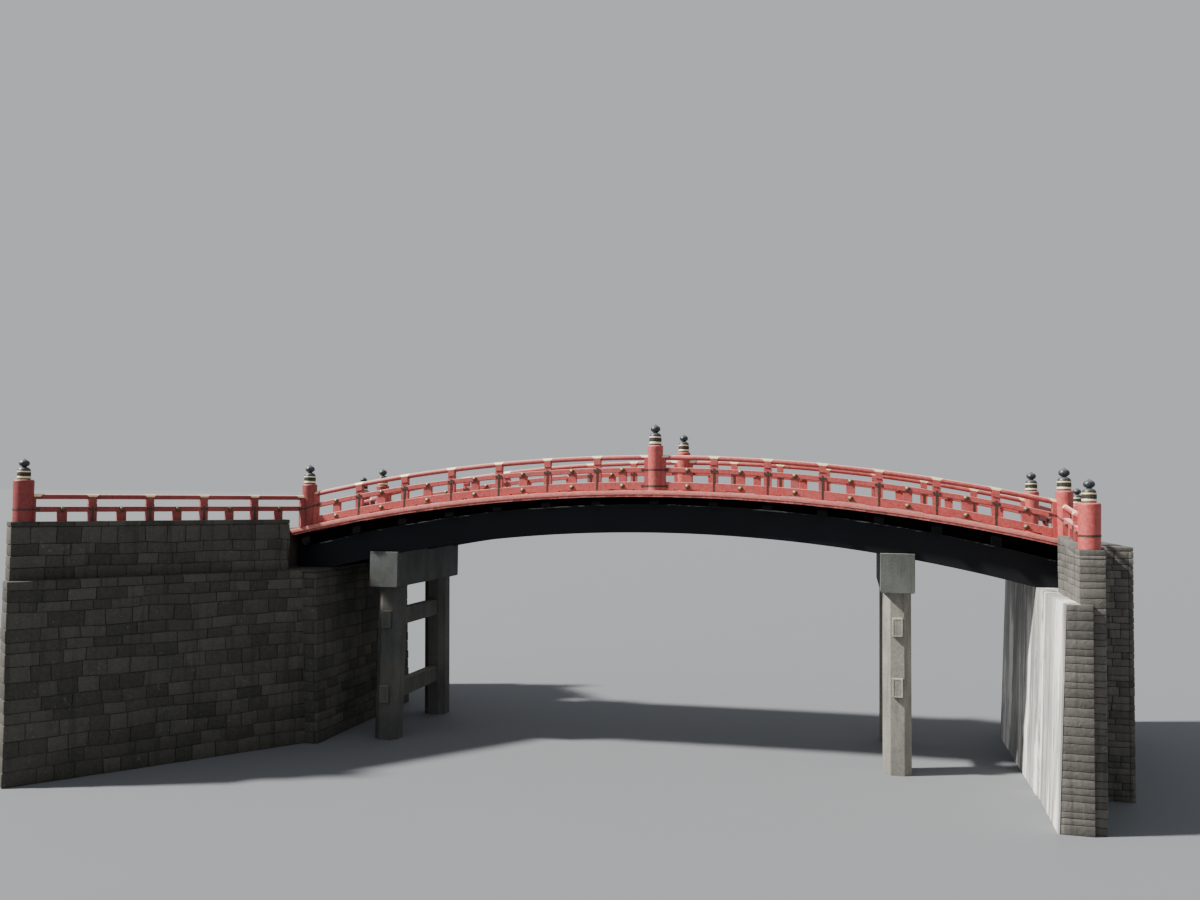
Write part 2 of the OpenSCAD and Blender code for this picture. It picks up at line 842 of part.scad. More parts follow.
girder(-girder_y);  // girder_downstream
girder(0);  // girder_middle
girder(girder_y);  // girder_upstream
cross_beams();
deck();
bottom_rail(downstream);  // bottom_rail_downstream
bottom_rail(upstream);  // bottom_rail_upstream
mid_rail(downstream);  // mid_rail_downstream
mid_rail(upstream);  // mid_rail_upstream
top_rail(downstream);  // top_rail_downstream
top_rail(upstream);  // top_rail_upstream
main_struts(downstream);  // main_struts_downstream
main_struts(upstream);  // main_struts_upstream
short_struts(downstream);  // short_struts_downstream
short_struts(upstream);  // short_struts_upstream
bridge_post(-half_span, downstream);  // post_left_downstream
bridge_post(0, downstream);  // post_centre_downstream
bridge_post(half_span, downstream);  // post_right_downstream
bridge_post(-half_span, upstream);  // post_left_upstream
bridge_post(0, upstream);  // post_centre_upstream
bridge_post(half_span, upstream);  // post_right_upstream
wing_post(wings[left_downstream]);  // wing_post_left_downstream
wing_post(wings[left_upstream]);  // wing_post_left_upstream
wing_post(wings[right_downstream]);  // wing_post_right_downstream
wing_post(wings[right_upstream]);  // wing_post_right_upstream
caps(downstream, [wings[left_downstream], wings[right_downstream]]);  // caps_downstream
caps(upstream, [wings[left_upstream], wings[right_upstream]]);  // caps_upstream
wing_railing(wings[left_downstream]);  // wing_railing_left_downstream
wing_railing(wings[left_upstream]);  // wing_railing_left_upstream
wing_railing(wings[right_downstream]);  // wing_railing_right_downstream
wing_railing(wings[right_upstream]);  // wing_railing_right_upstream
cap_beam(piers[0]);  // left_pier_cap_beam
pier_ties(piers[0]);  // left_pier_tie_beams
pier_column(piers[0], downstream);  // left_pier_column_downstream
pier_column(piers[0], upstream);  // left_pier_column_upstream
cap_beam(piers[1]);  // right_pier_cap_beam
pier_ties(piers[1]);  // right_pier_tie_beams
pier_column(piers[1], downstream);  // right_pier_column_downstream
pier_column(piers[1], upstream);  // right_pier_column_upstream
abutment(left);  // abutment_left
abutment(right);  // abutment_right
wing_wall(wings[left_downstream]);  // wing_wall_left_downstream
wing_wall(wings[left_upstream]);  // wing_wall_left_upstream
wing_wall(wings[right_downstream]);  // wing_wall_right_downstream
wing_wall(wings[right_upstream]);  // wing_wall_right_upstream
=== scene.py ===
"""Looks of an arched vermilion bridge on stone trestles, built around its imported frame.

Left and right are as seen from downstream, the -Y side. Lengths are in metres.
"""

import math
import random

import bmesh
import bpy
from mathutils import Euler, Matrix, Vector, noise


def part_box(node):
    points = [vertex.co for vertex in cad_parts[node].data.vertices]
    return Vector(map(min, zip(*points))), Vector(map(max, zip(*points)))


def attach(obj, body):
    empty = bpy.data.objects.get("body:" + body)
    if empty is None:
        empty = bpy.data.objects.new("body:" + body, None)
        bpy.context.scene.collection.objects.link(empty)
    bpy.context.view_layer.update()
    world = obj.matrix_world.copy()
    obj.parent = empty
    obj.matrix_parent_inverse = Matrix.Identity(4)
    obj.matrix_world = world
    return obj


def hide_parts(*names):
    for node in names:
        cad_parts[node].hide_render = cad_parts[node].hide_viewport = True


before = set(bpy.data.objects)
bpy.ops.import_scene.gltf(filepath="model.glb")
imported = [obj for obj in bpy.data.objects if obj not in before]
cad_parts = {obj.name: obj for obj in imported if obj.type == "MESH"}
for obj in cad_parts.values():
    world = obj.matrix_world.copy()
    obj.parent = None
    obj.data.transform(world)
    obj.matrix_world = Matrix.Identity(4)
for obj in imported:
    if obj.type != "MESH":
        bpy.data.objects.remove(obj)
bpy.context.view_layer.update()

BODY = "root"
SIDES = {"downstream": -1, "upstream": 1}

# Railing, from the deck or the curb up
BOTTOM_RAIL = 0.320
WINDOW = 0.345
MID_RAIL = 0.185
UPPER_GAP = 0.275
TOP_RAIL_D = 0.180
RAIL_THICKNESS = 0.200
STRUT_THICKNESS = 0.180
HEAD_THICKNESS = 0.232
STRUT_WIDTH = 0.280
WING_RAIL_STEP = 0.090
WING_UPPER_GAP = 0.250
WING_WINDOW = 0.320

# Rhythm of the railing, from the middle of a post
BAYS = 7
POST_STRUT = 0.252
WING_FIRST_BAY = 0.320
WING_LAST_STRUT = 0.235

# Round posts and their caps
POST_FOOT_R = 0.250
POST_TOP_R = 0.290
WING_POST_FOOT_R = 0.310
WING_POST_TOP_R = 0.325
WING_POST_ABOVE_RAIL = 0.480
CAP_HEIGHT = 0.785
CAP_RING_R = 0.230
CAP_SLEEVE_R = 0.218
WING_CAP_SCALE = 0.92
CAP_RINGS = ((0.062, 0.155), (0.345, 0.405))
CAP_BAND = (0.03, 0.40)
CAP_BOSSES = 14

# Metal fittings
BAND_SHEET = 0.007
BAND_CLEARANCE = 0.006
LEAF_SHEET = 0.008
SHEET_CHAMFER = 0.003
POST_STRAP_HALF = 0.030
POST_STRAP_TIP = 0.051
POST_STRAP_SINK = 0.004

# Timbers of the deck
DECK_THICKNESS = 0.230
PLANK_WIDTH = 0.36
PLANK_SETBACK = 0.022
EDGE_STRIP_HEIGHT = 0.150
COVER_STRIP = 0.045
STRIP_WIDTH = 0.03

# Stonework
WALL_START = 0.94
WALL_END = 0.42
WALL_THICKNESS = 0.72
WALL_BATTER = math.radians(2)
FOOT_TOP = 6.65
FOOT_START = 0.24
FOOT_END = 0.15
FOOT_REACH = 0.78
RENDER_DEPTH = 0.05
COPING = 0.17
COPING_LENGTH = 1.15
STONE_DEPTH = 0.15
STONE_LENGTH = {"left": 0.80, "right": 0.52}
COURSE_HEIGHT = {"left": 0.43, "right": 0.24}
STONE_ARRIS = {"left": 0.028, "right": 0.012}
STONE_SETBACK = {"left": 0.030, "right": 0.012}
WAVER = {"left": 0.075, "right": 0.030}
FIRST_STONE = (0.3, 1.2)
STONE_SPREAD = (0.65, 1.35)
COURSE_SPREAD = (0.75, 1.25)
SHORTEST_STONE = 0.4
LOWEST_COURSE = 0.3
NEARLY = 0.001
TIE_MARGIN = 0.045
SLAB = 0.14
SLAB_WIDTH = 0.72
JOINT = 0.014
MORTAR_SETBACK = 0.05

# How far the arrises of the frame's solids are taken off, and which edges count as sharp
ARRIS = {"rail": 0.024, "strut": 0.008, "girder": 0.012, "beam": 0.025, "column": 0.018}
BEVEL_OVER = math.radians(30)
MERGE_UNDER = 0.0002
SMOOTH_UNDER = 35

# Light and floor
SUN_ENERGY = 11.0
SUN_SPREAD = math.radians(4)
SUN_COLOR = (1.0, 0.96, 0.9)
SUN_TURN = (math.radians(48), 0, math.radians(-71))
SKY_COLOR = (0.90, 0.93, 0.97)
SKY_STRENGTH = 0.55
FLOOR_REACH = 3000
FLOOR_SHADES = ((0.149, 0.158, 0.171), (0.154, 0.163, 0.176))

# The photo's camera in the bridge's own frame: the crown's middle is over the origin
PHOTO_WIDTH = 1200
FOCAL_PIXELS = 1050
SENSOR_MM = 36
FAR_CLIP = 8000
EYE = Vector((7.07, -41.43, 9.78))
EYE_YAW = -0.2363
EYE_PITCH = 0.0402
EYE_ROLL = 0.0098


class Arc:
    """The top of a bent timber: a circle about a line across the bridge."""

    def __init__(self, radius, crown_z):
        self.radius = radius
        self.crown_z = crown_z

    def z(self, x):
        return self.crown_z - self.radius + math.sqrt(self.radius**2 - x**2)

    def dip(self, x):
        """Angle by which the timber points down at x."""
        return math.asin(x / self.radius)

    def lifted(self, height):
        """The same circle, higher up."""
        return Arc(self.radius, self.crown_z + height)

    def grown(self, height):
        """A circle about the same centre, with a larger radius."""
        return Arc(self.radius + height, self.crown_z + height)


class Line:
    """The top of a straight timber that falls evenly."""

    def __init__(self, start_z, slope):
        self.start_z = start_z
        self.slope = slope

    def z(self, x):
        return self.start_z + self.slope * x

    def dip(self, x):
        return -math.atan(self.slope)

    def lifted(self, height):
        return Line(self.start_z + height, self.slope)


def middle(node):
    """The middle of a node's box."""
    low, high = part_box(node)
    return (low + high) / 2


def deck_arc():
    """The walking surface, through its crown and the deck's outermost corner."""
    corner = max((v.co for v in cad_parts["deck"].data.vertices), key=lambda co: co.x)
    crown_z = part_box("deck")[1].z
    run = corner.x - MIDDLE.x
    drop = crown_z - corner.z
    return Arc((run**2 + drop**2) / (2 * drop), crown_z)


MIDDLE = middle("deck")
HALF_SPAN = middle("post_right_downstream").x - MIDDLE.x
RAIL_Y = MIDDLE.y - middle("post_centre_downstream").y
BAY = (HALF_SPAN - 2 * POST_STRUT) / BAYS
DECK_TOP = deck_arc()
DECK_X = (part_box("deck")[1].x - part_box("deck")[0].x) / 2
DECK_Y = (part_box("deck")[1].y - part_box("deck")[0].y) / 2
TOP_RAIL_Z = DECK_TOP.lifted(BOTTOM_RAIL + WINDOW + MID_RAIL + UPPER_GAP + TOP_RAIL_D)
WING_RAIL_Z = TOP_RAIL_Z.z(HALF_SPAN) - WING_RAIL_STEP


def at(x, y, z):
    """A place given from the middle of the bridge, in the frame."""
    return Vector((MIDDLE.x + x, MIDDLE.y + y, z))


def facing(way):
    """Turns a fitting made for the -Y face round to the +Y one where way is positive."""
    return Matrix.Rotation(0 if way < 0 else math.pi, 4, "Z")


class Railing:
    """A stretch of railing with its own X along it and its own Y across it."""

    def __init__(self, name, origin, turn, rail, mid, foot, struts, half_bays):
        self.name = name
        self.turn = turn
        self.frame = Matrix.Translation((origin.x, origin.y, 0)) @ Matrix.Rotation(turn, 4, "Z")
        self.rail = rail.lifted(-TOP_RAIL_D / 2)
        self.mid = mid.lifted(-MID_RAIL / 2)
        self.foot = foot
        self.struts = struts
        self.half_bays = half_bays

    def place(self, x, y, curve, face=-1):
        """Where a fitting goes that lies along a rail."""
        dip = Matrix.Rotation(curve.dip(x), 4, "Y")
        return self.frame @ Matrix.Translation((x, y, curve.z(x))) @ dip @ facing(face)

    def plumb(self, x, y, z, face):
        """Where a fitting goes that hangs plumb."""
        return self.frame @ Matrix.Translation((x, y, z)) @ facing(face)


def both_halves(distances):
    """Places at the same distances on both sides of the middle."""
    return [half * x for half in (-1, 1) for x in distances]


def bridge_railing(stream):
    """The railing over the arch, from one end post over the crown post to the other."""
    side = SIDES[stream]
    struts = [POST_STRUT + i * BAY for i in range(1, BAYS)]
    half_bays = [POST_STRUT + (i + 0.5) * BAY for i in range(BAYS)]
    mid = DECK_TOP.lifted(BOTTOM_RAIL + WINDOW + MID_RAIL)
    foot = DECK_TOP.grown(BOTTOM_RAIL)
    return Railing(stream, at(0, side * RAIL_Y, 0), 0.0, TOP_RAIL_Z, mid, foot,
                   both_halves(struts), both_halves(half_bays))


class Wing(Railing):
    """An approach railing, from the middle of the bridge's post to the middle of its own end post."""

    def __init__(self, side, stream):
        self.side = side
        self.stream = stream
        start = middle(f"post_{side}_{stream}")
        run = middle(f"wing_post_{side}_{stream}") - start
        self.length = run.xy.length
        bays = round((self.length - WING_FIRST_BAY - WING_LAST_STRUT) / BAY)
        end_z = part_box(f"wing_post_{side}_{stream}")[1].z - WING_POST_ABOVE_RAIL
        rail = Line(WING_RAIL_Z, (end_z - WING_RAIL_Z) / self.length)
        mid = rail.lifted(-TOP_RAIL_D - WING_UPPER_GAP)
        curb = mid.lifted(-MID_RAIL - WING_WINDOW)
        struts = [WING_FIRST_BAY + i * BAY for i in range(1, bays)]
        half_bays = [WING_FIRST_BAY + (i + 0.5) * BAY for i in range(bays)]
        name = f"{side}_{stream}"
        super().__init__(name, start, math.atan2(run.y, run.x), rail, mid, curb, struts, half_bays)


BRIDGE_RAILINGS = [bridge_railing(stream) for stream in SIDES]
WINGS = [Wing(side, stream) for side in ("left", "right") for stream in SIDES]


class Socket:
    """A node's output, on which Python's operators add Math nodes."""

    def __init__(self, nodes, output):
        self.nodes = nodes
        self.output = output

    def math(self, operation, *values):
        return self.nodes.add("ShaderNodeMath", {"operation": operation}, dict(enumerate(values)))

    def __add__(self, other):
        return self.math("ADD", self, other)

    def __radd__(self, other):
        return self.math("ADD", other, self)

    def __sub__(self, other):
        return self.math("SUBTRACT", self, other)

    def __rsub__(self, other):
        return self.math("SUBTRACT", other, self)

    def __mul__(self, other):
        return self.math("MULTIPLY", self, other)

    def __rmul__(self, other):
        return self.math("MULTIPLY", other, self)

    def __truediv__(self, other):
        return self.math("DIVIDE", self, other)

    def clamped(self, low=0.0, high=1.0):
        return self.math("MINIMUM", self.math("MAXIMUM", self, low), high)

    def above(self, low, high):
        """0 under low, 1 over high and a smooth step between them."""
        settings = {"interpolation_type": "SMOOTHSTEP"}
        values = {"Value": self, "From Min": low, "From Max": high}
        return self.nodes.add("ShaderNodeMapRange", settings, values)


class Nodes:
    """Adds nodes to a tree: the settings of each come first, then the values or links of its inputs."""

    def __init__(self, tree):
        self.tree = tree

    def add(self, kind, settings=None, inputs=None, output=0):
        node = self.tree.nodes.new(kind)
        for name, value in (settings or {}).items():
            setattr(node, name, value)
        for key, value in (inputs or {}).items():
            self.feed(node.inputs[key], value)
        return Socket(self, node.outputs[output])

    def feed(self, socket, value):
        if isinstance(value, Socket):
            self.tree.links.new(value.output, socket)
        else:
            socket.default_value = value


def srgb(red, green, blue):
    """A colour given as it shows on a screen, from 0 to 255, as linear light."""

    def linear(value):
        share = value / 255
        return share / 12.92 if share <= 0.04045 else ((share + 0.055) / 1.055) ** 2.4

    return tuple(linear(v) for v in (red, green, blue))


# Deep and pale shades of the vermilion: in the open, and darker on the left side as painted shade
OPEN_PAINT = (srgb(156, 62, 60), srgb(180, 82, 78))
SHADED_LEFT_PAINT = (srgb(118, 40, 40), srgb(140, 56, 54))


class Finish(Nodes):
    """A material, with its nodes added by calls and a Principled shader at its end."""

    def __init__(self, name, turn=0.0):
        self.material = bpy.data.materials.new(name)
        self.material.use_nodes = True
        super().__init__(self.material.node_tree)
        self.shader = self.tree.nodes["Principled BSDF"]
        place = self.add("ShaderNodeTexCoord", output="Object")
        self.place = self.add("ShaderNodeMapping", None, {"Vector": place, "Rotation": (0, 0, -turn)})
        normal = self.add("ShaderNodeNewGeometry", output="Normal")
        self.up = self.axis(normal, 2)
        self.outwards = self.up.math("ABSOLUTE", self.axis(normal, 1))
        self.height = self.axis(place, 2)

    def axis(self, vector, number):
        return self.add("ShaderNodeSeparateXYZ", None, {0: vector}, output=number)

    def tone(self):
        """A share from 0 to 1 that differs from copy to copy."""
        return self.add("ShaderNodeAttribute", {"attribute_name": "tone"}, output="Fac")

    def stretched(self, scales):
        return self.add("ShaderNodeVectorMath", {"operation": "MULTIPLY"}, {0: self.place, 1: scales})

    def clouds(self, scales, detail=3.0, roughness=0.55, distortion=0.0):
        """Noise whose grains per metre are given along each axis."""
        values = {"Vector": self.stretched(scales), "Scale": 1.0, "Detail": detail,
                  "Roughness": roughness, "Distortion": distortion}
        return self.add("ShaderNodeTexNoise", None, values)

    def cells(self, scales):
        return self.add("ShaderNodeTexVoronoi", None, {"Vector": self.stretched(scales), "Scale": 1.0})

    def mixed(self, factor, first, second):
        first, second = ((*c, 1) if isinstance(c, tuple) else c for c in (first, second))
        settings = {"data_type": "RGBA"}
        return self.add("ShaderNodeMix", settings, {0: factor, 6: first, 7: second}, output=2)

    def surface(self, color, roughness, height, relief, metallic=0.0, gloss=0.5):
        """Ends the material. relief is the height of the bumps in metres."""
        self.shader.inputs["Specular IOR Level"].default_value = gloss
        bump = self.add("ShaderNodeBump", None, {"Height": height, "Distance": relief, "Strength": 1.0})
        self.feed(self.shader.inputs["Base Color"], color)
        self.feed(self.shader.inputs["Roughness"], roughness)
        self.feed(self.shader.inputs["Metallic"], metallic)
        self.feed(self.shader.inputs["Normal"], bump)
        return self.material


def vermilion_paint(name, grain, turn=0.0, deep=OPEN_PAINT[0], pale=OPEN_PAINT[1], bleach_and_highlight=1.0):
    """Sun-bleached vermilion over timber, paler on up-facing faces as sun fade and painted highlight,
    and darker on down-facing faces as painted shade. grain is the marks per metre along each axis.
    """
    f = Finish(name, turn)
    broad = f.clouds((0.6, 0.6, 0.6), 4)
    mottle = f.clouds((9, 9, 9), 5, 0.65)
    fibre = f.clouds(grain, 4, 0.6)
    color = f.mixed(mottle.above(0.3, 0.7), deep, pale)
    color = f.mixed(broad.above(0.45, 0.72) * 0.3, color, srgb(186, 98, 92))
    # Up-facing faces paler: sun fade and painted highlight
    fade_and_highlight = f.up.above(0.55, 0.97) * (0.6 + mottle * 0.6)
    color = f.mixed(fade_and_highlight.clamped() * bleach_and_highlight, color, srgb(216, 176, 168))
    chalk = (fibre.above(0.6, 0.78) * mottle.above(0.45, 0.7)) * 0.3
    color = f.mixed(chalk * bleach_and_highlight, color, srgb(206, 156, 150))
    # Down-facing faces darker as painted shade, plus random patches of grime
    underside_shade_and_grime = (1 - f.up.above(-0.9, -0.3)) * 0.5 + f.clouds((5, 5, 1.4), 4, 0.7).above(0.6, 0.8) * 0.25
    color = f.mixed(underside_shade_and_grime.clamped(), color, srgb(82, 38, 37))
    return f.surface(color, 0.42 + mottle * 0.25, fibre + mottle * 0.4, 0.002)


def deck_paint(name):
    """Planks with bleached pink ends and a bare, trodden strip along the middle."""
    f = Finish(name)
    fibre = f.clouds((40, 3, 40), 5, 0.65)
    mottle = f.clouds((6, 6, 6), 5, 0.65)
    paint = f.mixed(mottle.above(0.3, 0.7), srgb(150, 58, 55), srgb(176, 82, 78))
    # Up-facing faces painted paler, a painted highlight
    paint = f.mixed(f.up.above(0.4, 0.9) * 0.4, paint, srgb(190, 116, 108))
    paint = f.mixed(fibre.above(0.55, 0.75) * 0.35, paint, srgb(118, 60, 56))
    ends = f.mixed(mottle.above(0.35, 0.65), srgb(150, 72, 68), srgb(190, 104, 98))
    ends = f.mixed(f.tone().above(0.55, 1.0) * 0.4, ends, srgb(104, 50, 48))
    paint = f.mixed(f.outwards.above(0.5, 0.8), paint, ends)
    wood = f.mixed(fibre.above(0.35, 0.7), srgb(126, 112, 98), srgb(84, 72, 62))
    across = f.axis(f.place, 1) - MIDDLE.y
    reach = across.math("ABSOLUTE", across) + (mottle - 0.5) * 1.6
    trodden = (1 - reach.above(2.2, 3.0)) * f.up.above(0.5, 0.8)
    color = f.mixed(trodden * 0.9, paint, wood)
    color = f.mixed(f.tone() * 0.25, color, srgb(104, 62, 56))
    return f.surface(color, 0.62 + mottle * 0.2, fibre, 0.004)


def edge_paint(name):
    """Vermilion bleached to pink, paler still on up-facing faces as sun bleaching and painted
    highlight.
    """
    f = Finish(name)
    mottle = f.clouds((7, 20, 20), 5, 0.65)
    color = f.mixed(mottle.above(0.32, 0.68), srgb(190, 98, 92), srgb(210, 130, 122))
    color = f.mixed(f.clouds((3, 9, 9), 4, 0.7).above(0.6, 0.78) * 0.35, color, srgb(150, 68, 64))
    # Up-facing faces paler: sun bleaching and painted highlight
    color = f.mixed(f.up.above(0.3, 0.8), color, srgb(232, 180, 172))
    return f.surface(color, 0.5 + mottle * 0.25, mottle, 0.003)


def tarred_paint(name):
    """Nearly black timber with a faint weathered sheen, paler on up-facing faces as dust and painted
    highlight.
    """
    f = Finish(name)
    fibre = f.clouds((2.5, 28, 28), 5, 0.65)
    broad = f.clouds((0.7, 0.7, 0.7), 3)
    color = f.mixed(broad, srgb(13, 14, 18), srgb(22, 24, 30))
    color = f.mixed(fibre.above(0.55, 0.78) * 0.4, color, srgb(44, 46, 52))
    # Up-facing faces paler: dust and painted highlight
    color = f.mixed(f.up.above(0.5, 0.9) * 0.5, color, srgb(70, 68, 66))
    return f.surface(color, 0.5 + fibre * 0.3, fibre, 0.004, gloss=0.18)


def shaded_tar(name):
    """Tarred cross beams, painted darker than the girders as painted shade under the deck, and dull."""
    f = Finish(name)
    rings = f.clouds((24, 24, 24), 5, 0.7)
    color = f.mixed(rings.above(0.35, 0.7), srgb(5, 5, 6), srgb(12, 11, 13))
    return f.surface(color, 0.8 + rings * 0.15, rings, 0.004, gloss=0.05)


def lap_paint(name):
    """Tarred strips with pale dashes along their length, wear and painted highlight."""
    f = Finish(name)
    highlight_dashes = f.clouds((0.9, 6, 6), 4, 0.7).above(0.52, 0.6)
    grain = f.clouds((3, 30, 30), 4, 0.6)
    color = f.mixed(grain, srgb(18, 19, 23), srgb(30, 32, 36))
    # Pale dashes: wear and painted highlight
    color = f.mixed(highlight_dashes * 0.9, color, srgb(116, 120, 122))
    return f.surface(color, 0.5 + grain * 0.2, grain, 0.002, gloss=0.18)


def dressed_stone(name, pale, dark, runs_share=0.5, ochre=0.0):
    """Granite with hammered faces, dark runs and lichen."""
    f = Finish(name)
    speck = f.cells((70, 70, 70))
    hammered = f.clouds((17, 17, 17), 5, 0.75)
    broad = f.clouds((0.9, 0.9, 0.45), 4)
    slant = f.clouds((3.2, 3.2, 1.6), 5, 0.7, 1.2)
    runs = f.clouds((5, 5, 0.3), 4, 0.6)
    blots = f.clouds((2.6, 2.6, 2.6), 5, 0.7)
    color = f.mixed(broad.above(0.3, 0.7), dark, pale)
    color = f.mixed((1 - hammered.above(0.36, 0.5)) * 0.5, color, srgb(84, 80, 74))
    color = f.mixed(speck.above(0.2, 0.65) * 0.3, color, srgb(92, 90, 86))
    color = f.mixed(slant.above(0.5, 0.68) * 0.4, color, srgb(88, 92, 88))
    color = f.mixed(runs.above(0.5, 0.7) * runs_share, color, srgb(58, 62, 66))
    color = f.mixed(blots.above(0.5, 0.7) * ochre, color, srgb(122, 92, 54))
    # Up-facing faces painted paler, a painted highlight
    color = f.mixed(f.up.above(0.5, 0.9) * 0.4, color, srgb(176, 170, 156))
    return f.surface(color, 0.88, hammered + slant * 0.4, 0.016, gloss=0.3)


def wall_stone(name, dark, pale, moss_share=0.4, lime_share=0.0):
    """Squared stones, each with its own tone, with pits, dark runs, moss and lichen."""
    f = Finish(name)
    pits = f.clouds((9, 9, 9), 6, 0.75)
    speck = f.cells((60, 60, 60))
    runs = f.clouds((3.2, 3.2, 0.22), 4, 0.65)
    moss = f.clouds((1.4, 1.4, 1.4), 5, 0.7)
    color = f.mixed(f.tone() * 0.7 + pits.above(0.35, 0.65) * 0.3, dark, pale)
    color = f.mixed(speck.above(0.2, 0.65) * 0.3, color, srgb(70, 66, 62))
    color = f.mixed(runs.above(0.5, 0.7) * 0.5, color, srgb(50, 49, 48))
    color = f.mixed((1 - runs).above(0.58, 0.72) * lime_share, color, srgb(160, 156, 148))
    color = f.mixed(moss.above(0.54, 0.68) * moss_share, color, srgb(58, 62, 46))
    lichen = f.clouds((7, 7, 7), 3, 0.8).above(0.62, 0.7) * moss.above(0.4, 0.6)
    color = f.mixed(lichen * 0.5, color, srgb(128, 134, 122))
    return f.surface(color, 0.92, pits, 0.035, gloss=0.25)


def streaked_render(name):
    """Smooth pale cement with long runs of lime and dirt, and faint lines from its boards."""
    f = Finish(name)
    grit = f.clouds((45, 45, 45), 4, 0.7)
    lime = f.clouds((0.8, 0.8, 0.09), 6, 0.72, 0.6)
    thin = f.clouds((3.2, 3.2, 0.10), 5, 0.75, 0.2)
    stain = f.clouds((1.6, 1.6, 0.4), 5, 0.75)
    broad = f.clouds((0.5, 0.5, 0.35), 4)
    color = f.mixed(broad.above(0.35, 0.65), srgb(150, 149, 147), srgb(180, 178, 173))
    color = f.mixed(grit.above(0.5, 0.75) * 0.25, color, srgb(120, 118, 114))
    color = f.mixed(thin.above(0.50, 0.62) * 0.7, color, srgb(96, 96, 95))
    color = f.mixed(stain.above(0.56, 0.68) * thin.above(0.4, 0.6) * 0.7, color, srgb(66, 66, 66))
    limed = lime.above(0.52, 0.60) * (1 - thin.above(0.6, 0.75) * 0.6)
    color = f.mixed(limed, color, srgb(226, 224, 218))
    board = 0.45
    boards = f.height.math("PINGPONG", f.height, board)
    seam = 1 - boards.above(0.0, 0.016)
    color = f.mixed(seam * 0.3, color, srgb(116, 114, 110))
    return f.surface(color, 0.85, grit - seam * 0.5, 0.003, gloss=0.3)


def mortar(name):
    """Dark gritty mortar that shows only between the stones."""
    f = Finish(name)
    grit = f.clouds((60, 60, 60), 4, 0.7)
    color = f.mixed(grit.above(0.3, 0.7), srgb(44, 42, 40), srgb(76, 73, 68))
    return f.surface(color, 0.95, grit, 0.006, gloss=0.2)


def dark_bronze(name):
    """Blue-grey sheet with greener runs, paler where it faces up as a painted highlight."""
    f = Finish(name)
    mottle = f.clouds((14, 14, 14), 5, 0.65)
    color = f.mixed(mottle.above(0.35, 0.7), srgb(48, 50, 54), srgb(74, 77, 80))
    color = f.mixed(f.clouds((30, 30, 5), 4, 0.7).above(0.55, 0.75) * 0.3, color, srgb(84, 96, 90))
    # Up-facing faces paler: painted highlight
    color = f.mixed(f.up.above(0.4, 0.9) * 0.5, color, srgb(132, 135, 138))
    return f.surface(color, 0.32 + mottle * 0.2, mottle, 0.001, 0.5)


def dark_sleeve(name):
    """The sheet between the rings, nearly black."""
    f = Finish(name)
    mottle = f.clouds((24, 24, 24), 5, 0.65)
    color = f.mixed(mottle.above(0.35, 0.7), srgb(40, 41, 40), srgb(70, 72, 68))
    return f.surface(color, 0.45 + mottle * 0.25, mottle, 0.001, 0.4)


def aged_brass(name):
    """Gilt worn to a pale cream."""
    f = Finish(name)
    mottle = f.clouds((22, 22, 22), 5, 0.65)
    color = f.mixed(mottle.above(0.35, 0.7), srgb(226, 206, 156), srgb(244, 232, 196))
    color = f.mixed(f.clouds((40, 40, 40), 4, 0.7).above(0.6, 0.75) * 0.45, color, srgb(138, 116, 76))
    return f.surface(color, 0.42 + mottle * 0.25, mottle, 0.0008, 0.35)


def stud_metal(name):
    """Olive brass, with a painted highlight on the crown of each stud."""
    f = Finish(name)
    mottle = f.clouds((26, 26, 26), 5, 0.65)
    color = f.mixed(mottle.above(0.3, 0.7), srgb(78, 62, 46), srgb(116, 98, 72))
    # Up-facing crown paler: painted highlight
    color = f.mixed(f.up.above(0.3, 0.8) * 0.6, color, srgb(186, 172, 140))
    return f.surface(color, 0.34 + mottle * 0.25, mottle, 0.0008, 0.55)


def strap_metal(name):
    """Old iron, dull and brown."""
    f = Finish(name)
    mottle = f.clouds((18, 18, 18), 5, 0.7)
    color = f.mixed(mottle.above(0.35, 0.7), srgb(52, 40, 36), srgb(92, 74, 64))
    return f.surface(color, 0.5 + mottle * 0.25, mottle, 0.001, 0.4)


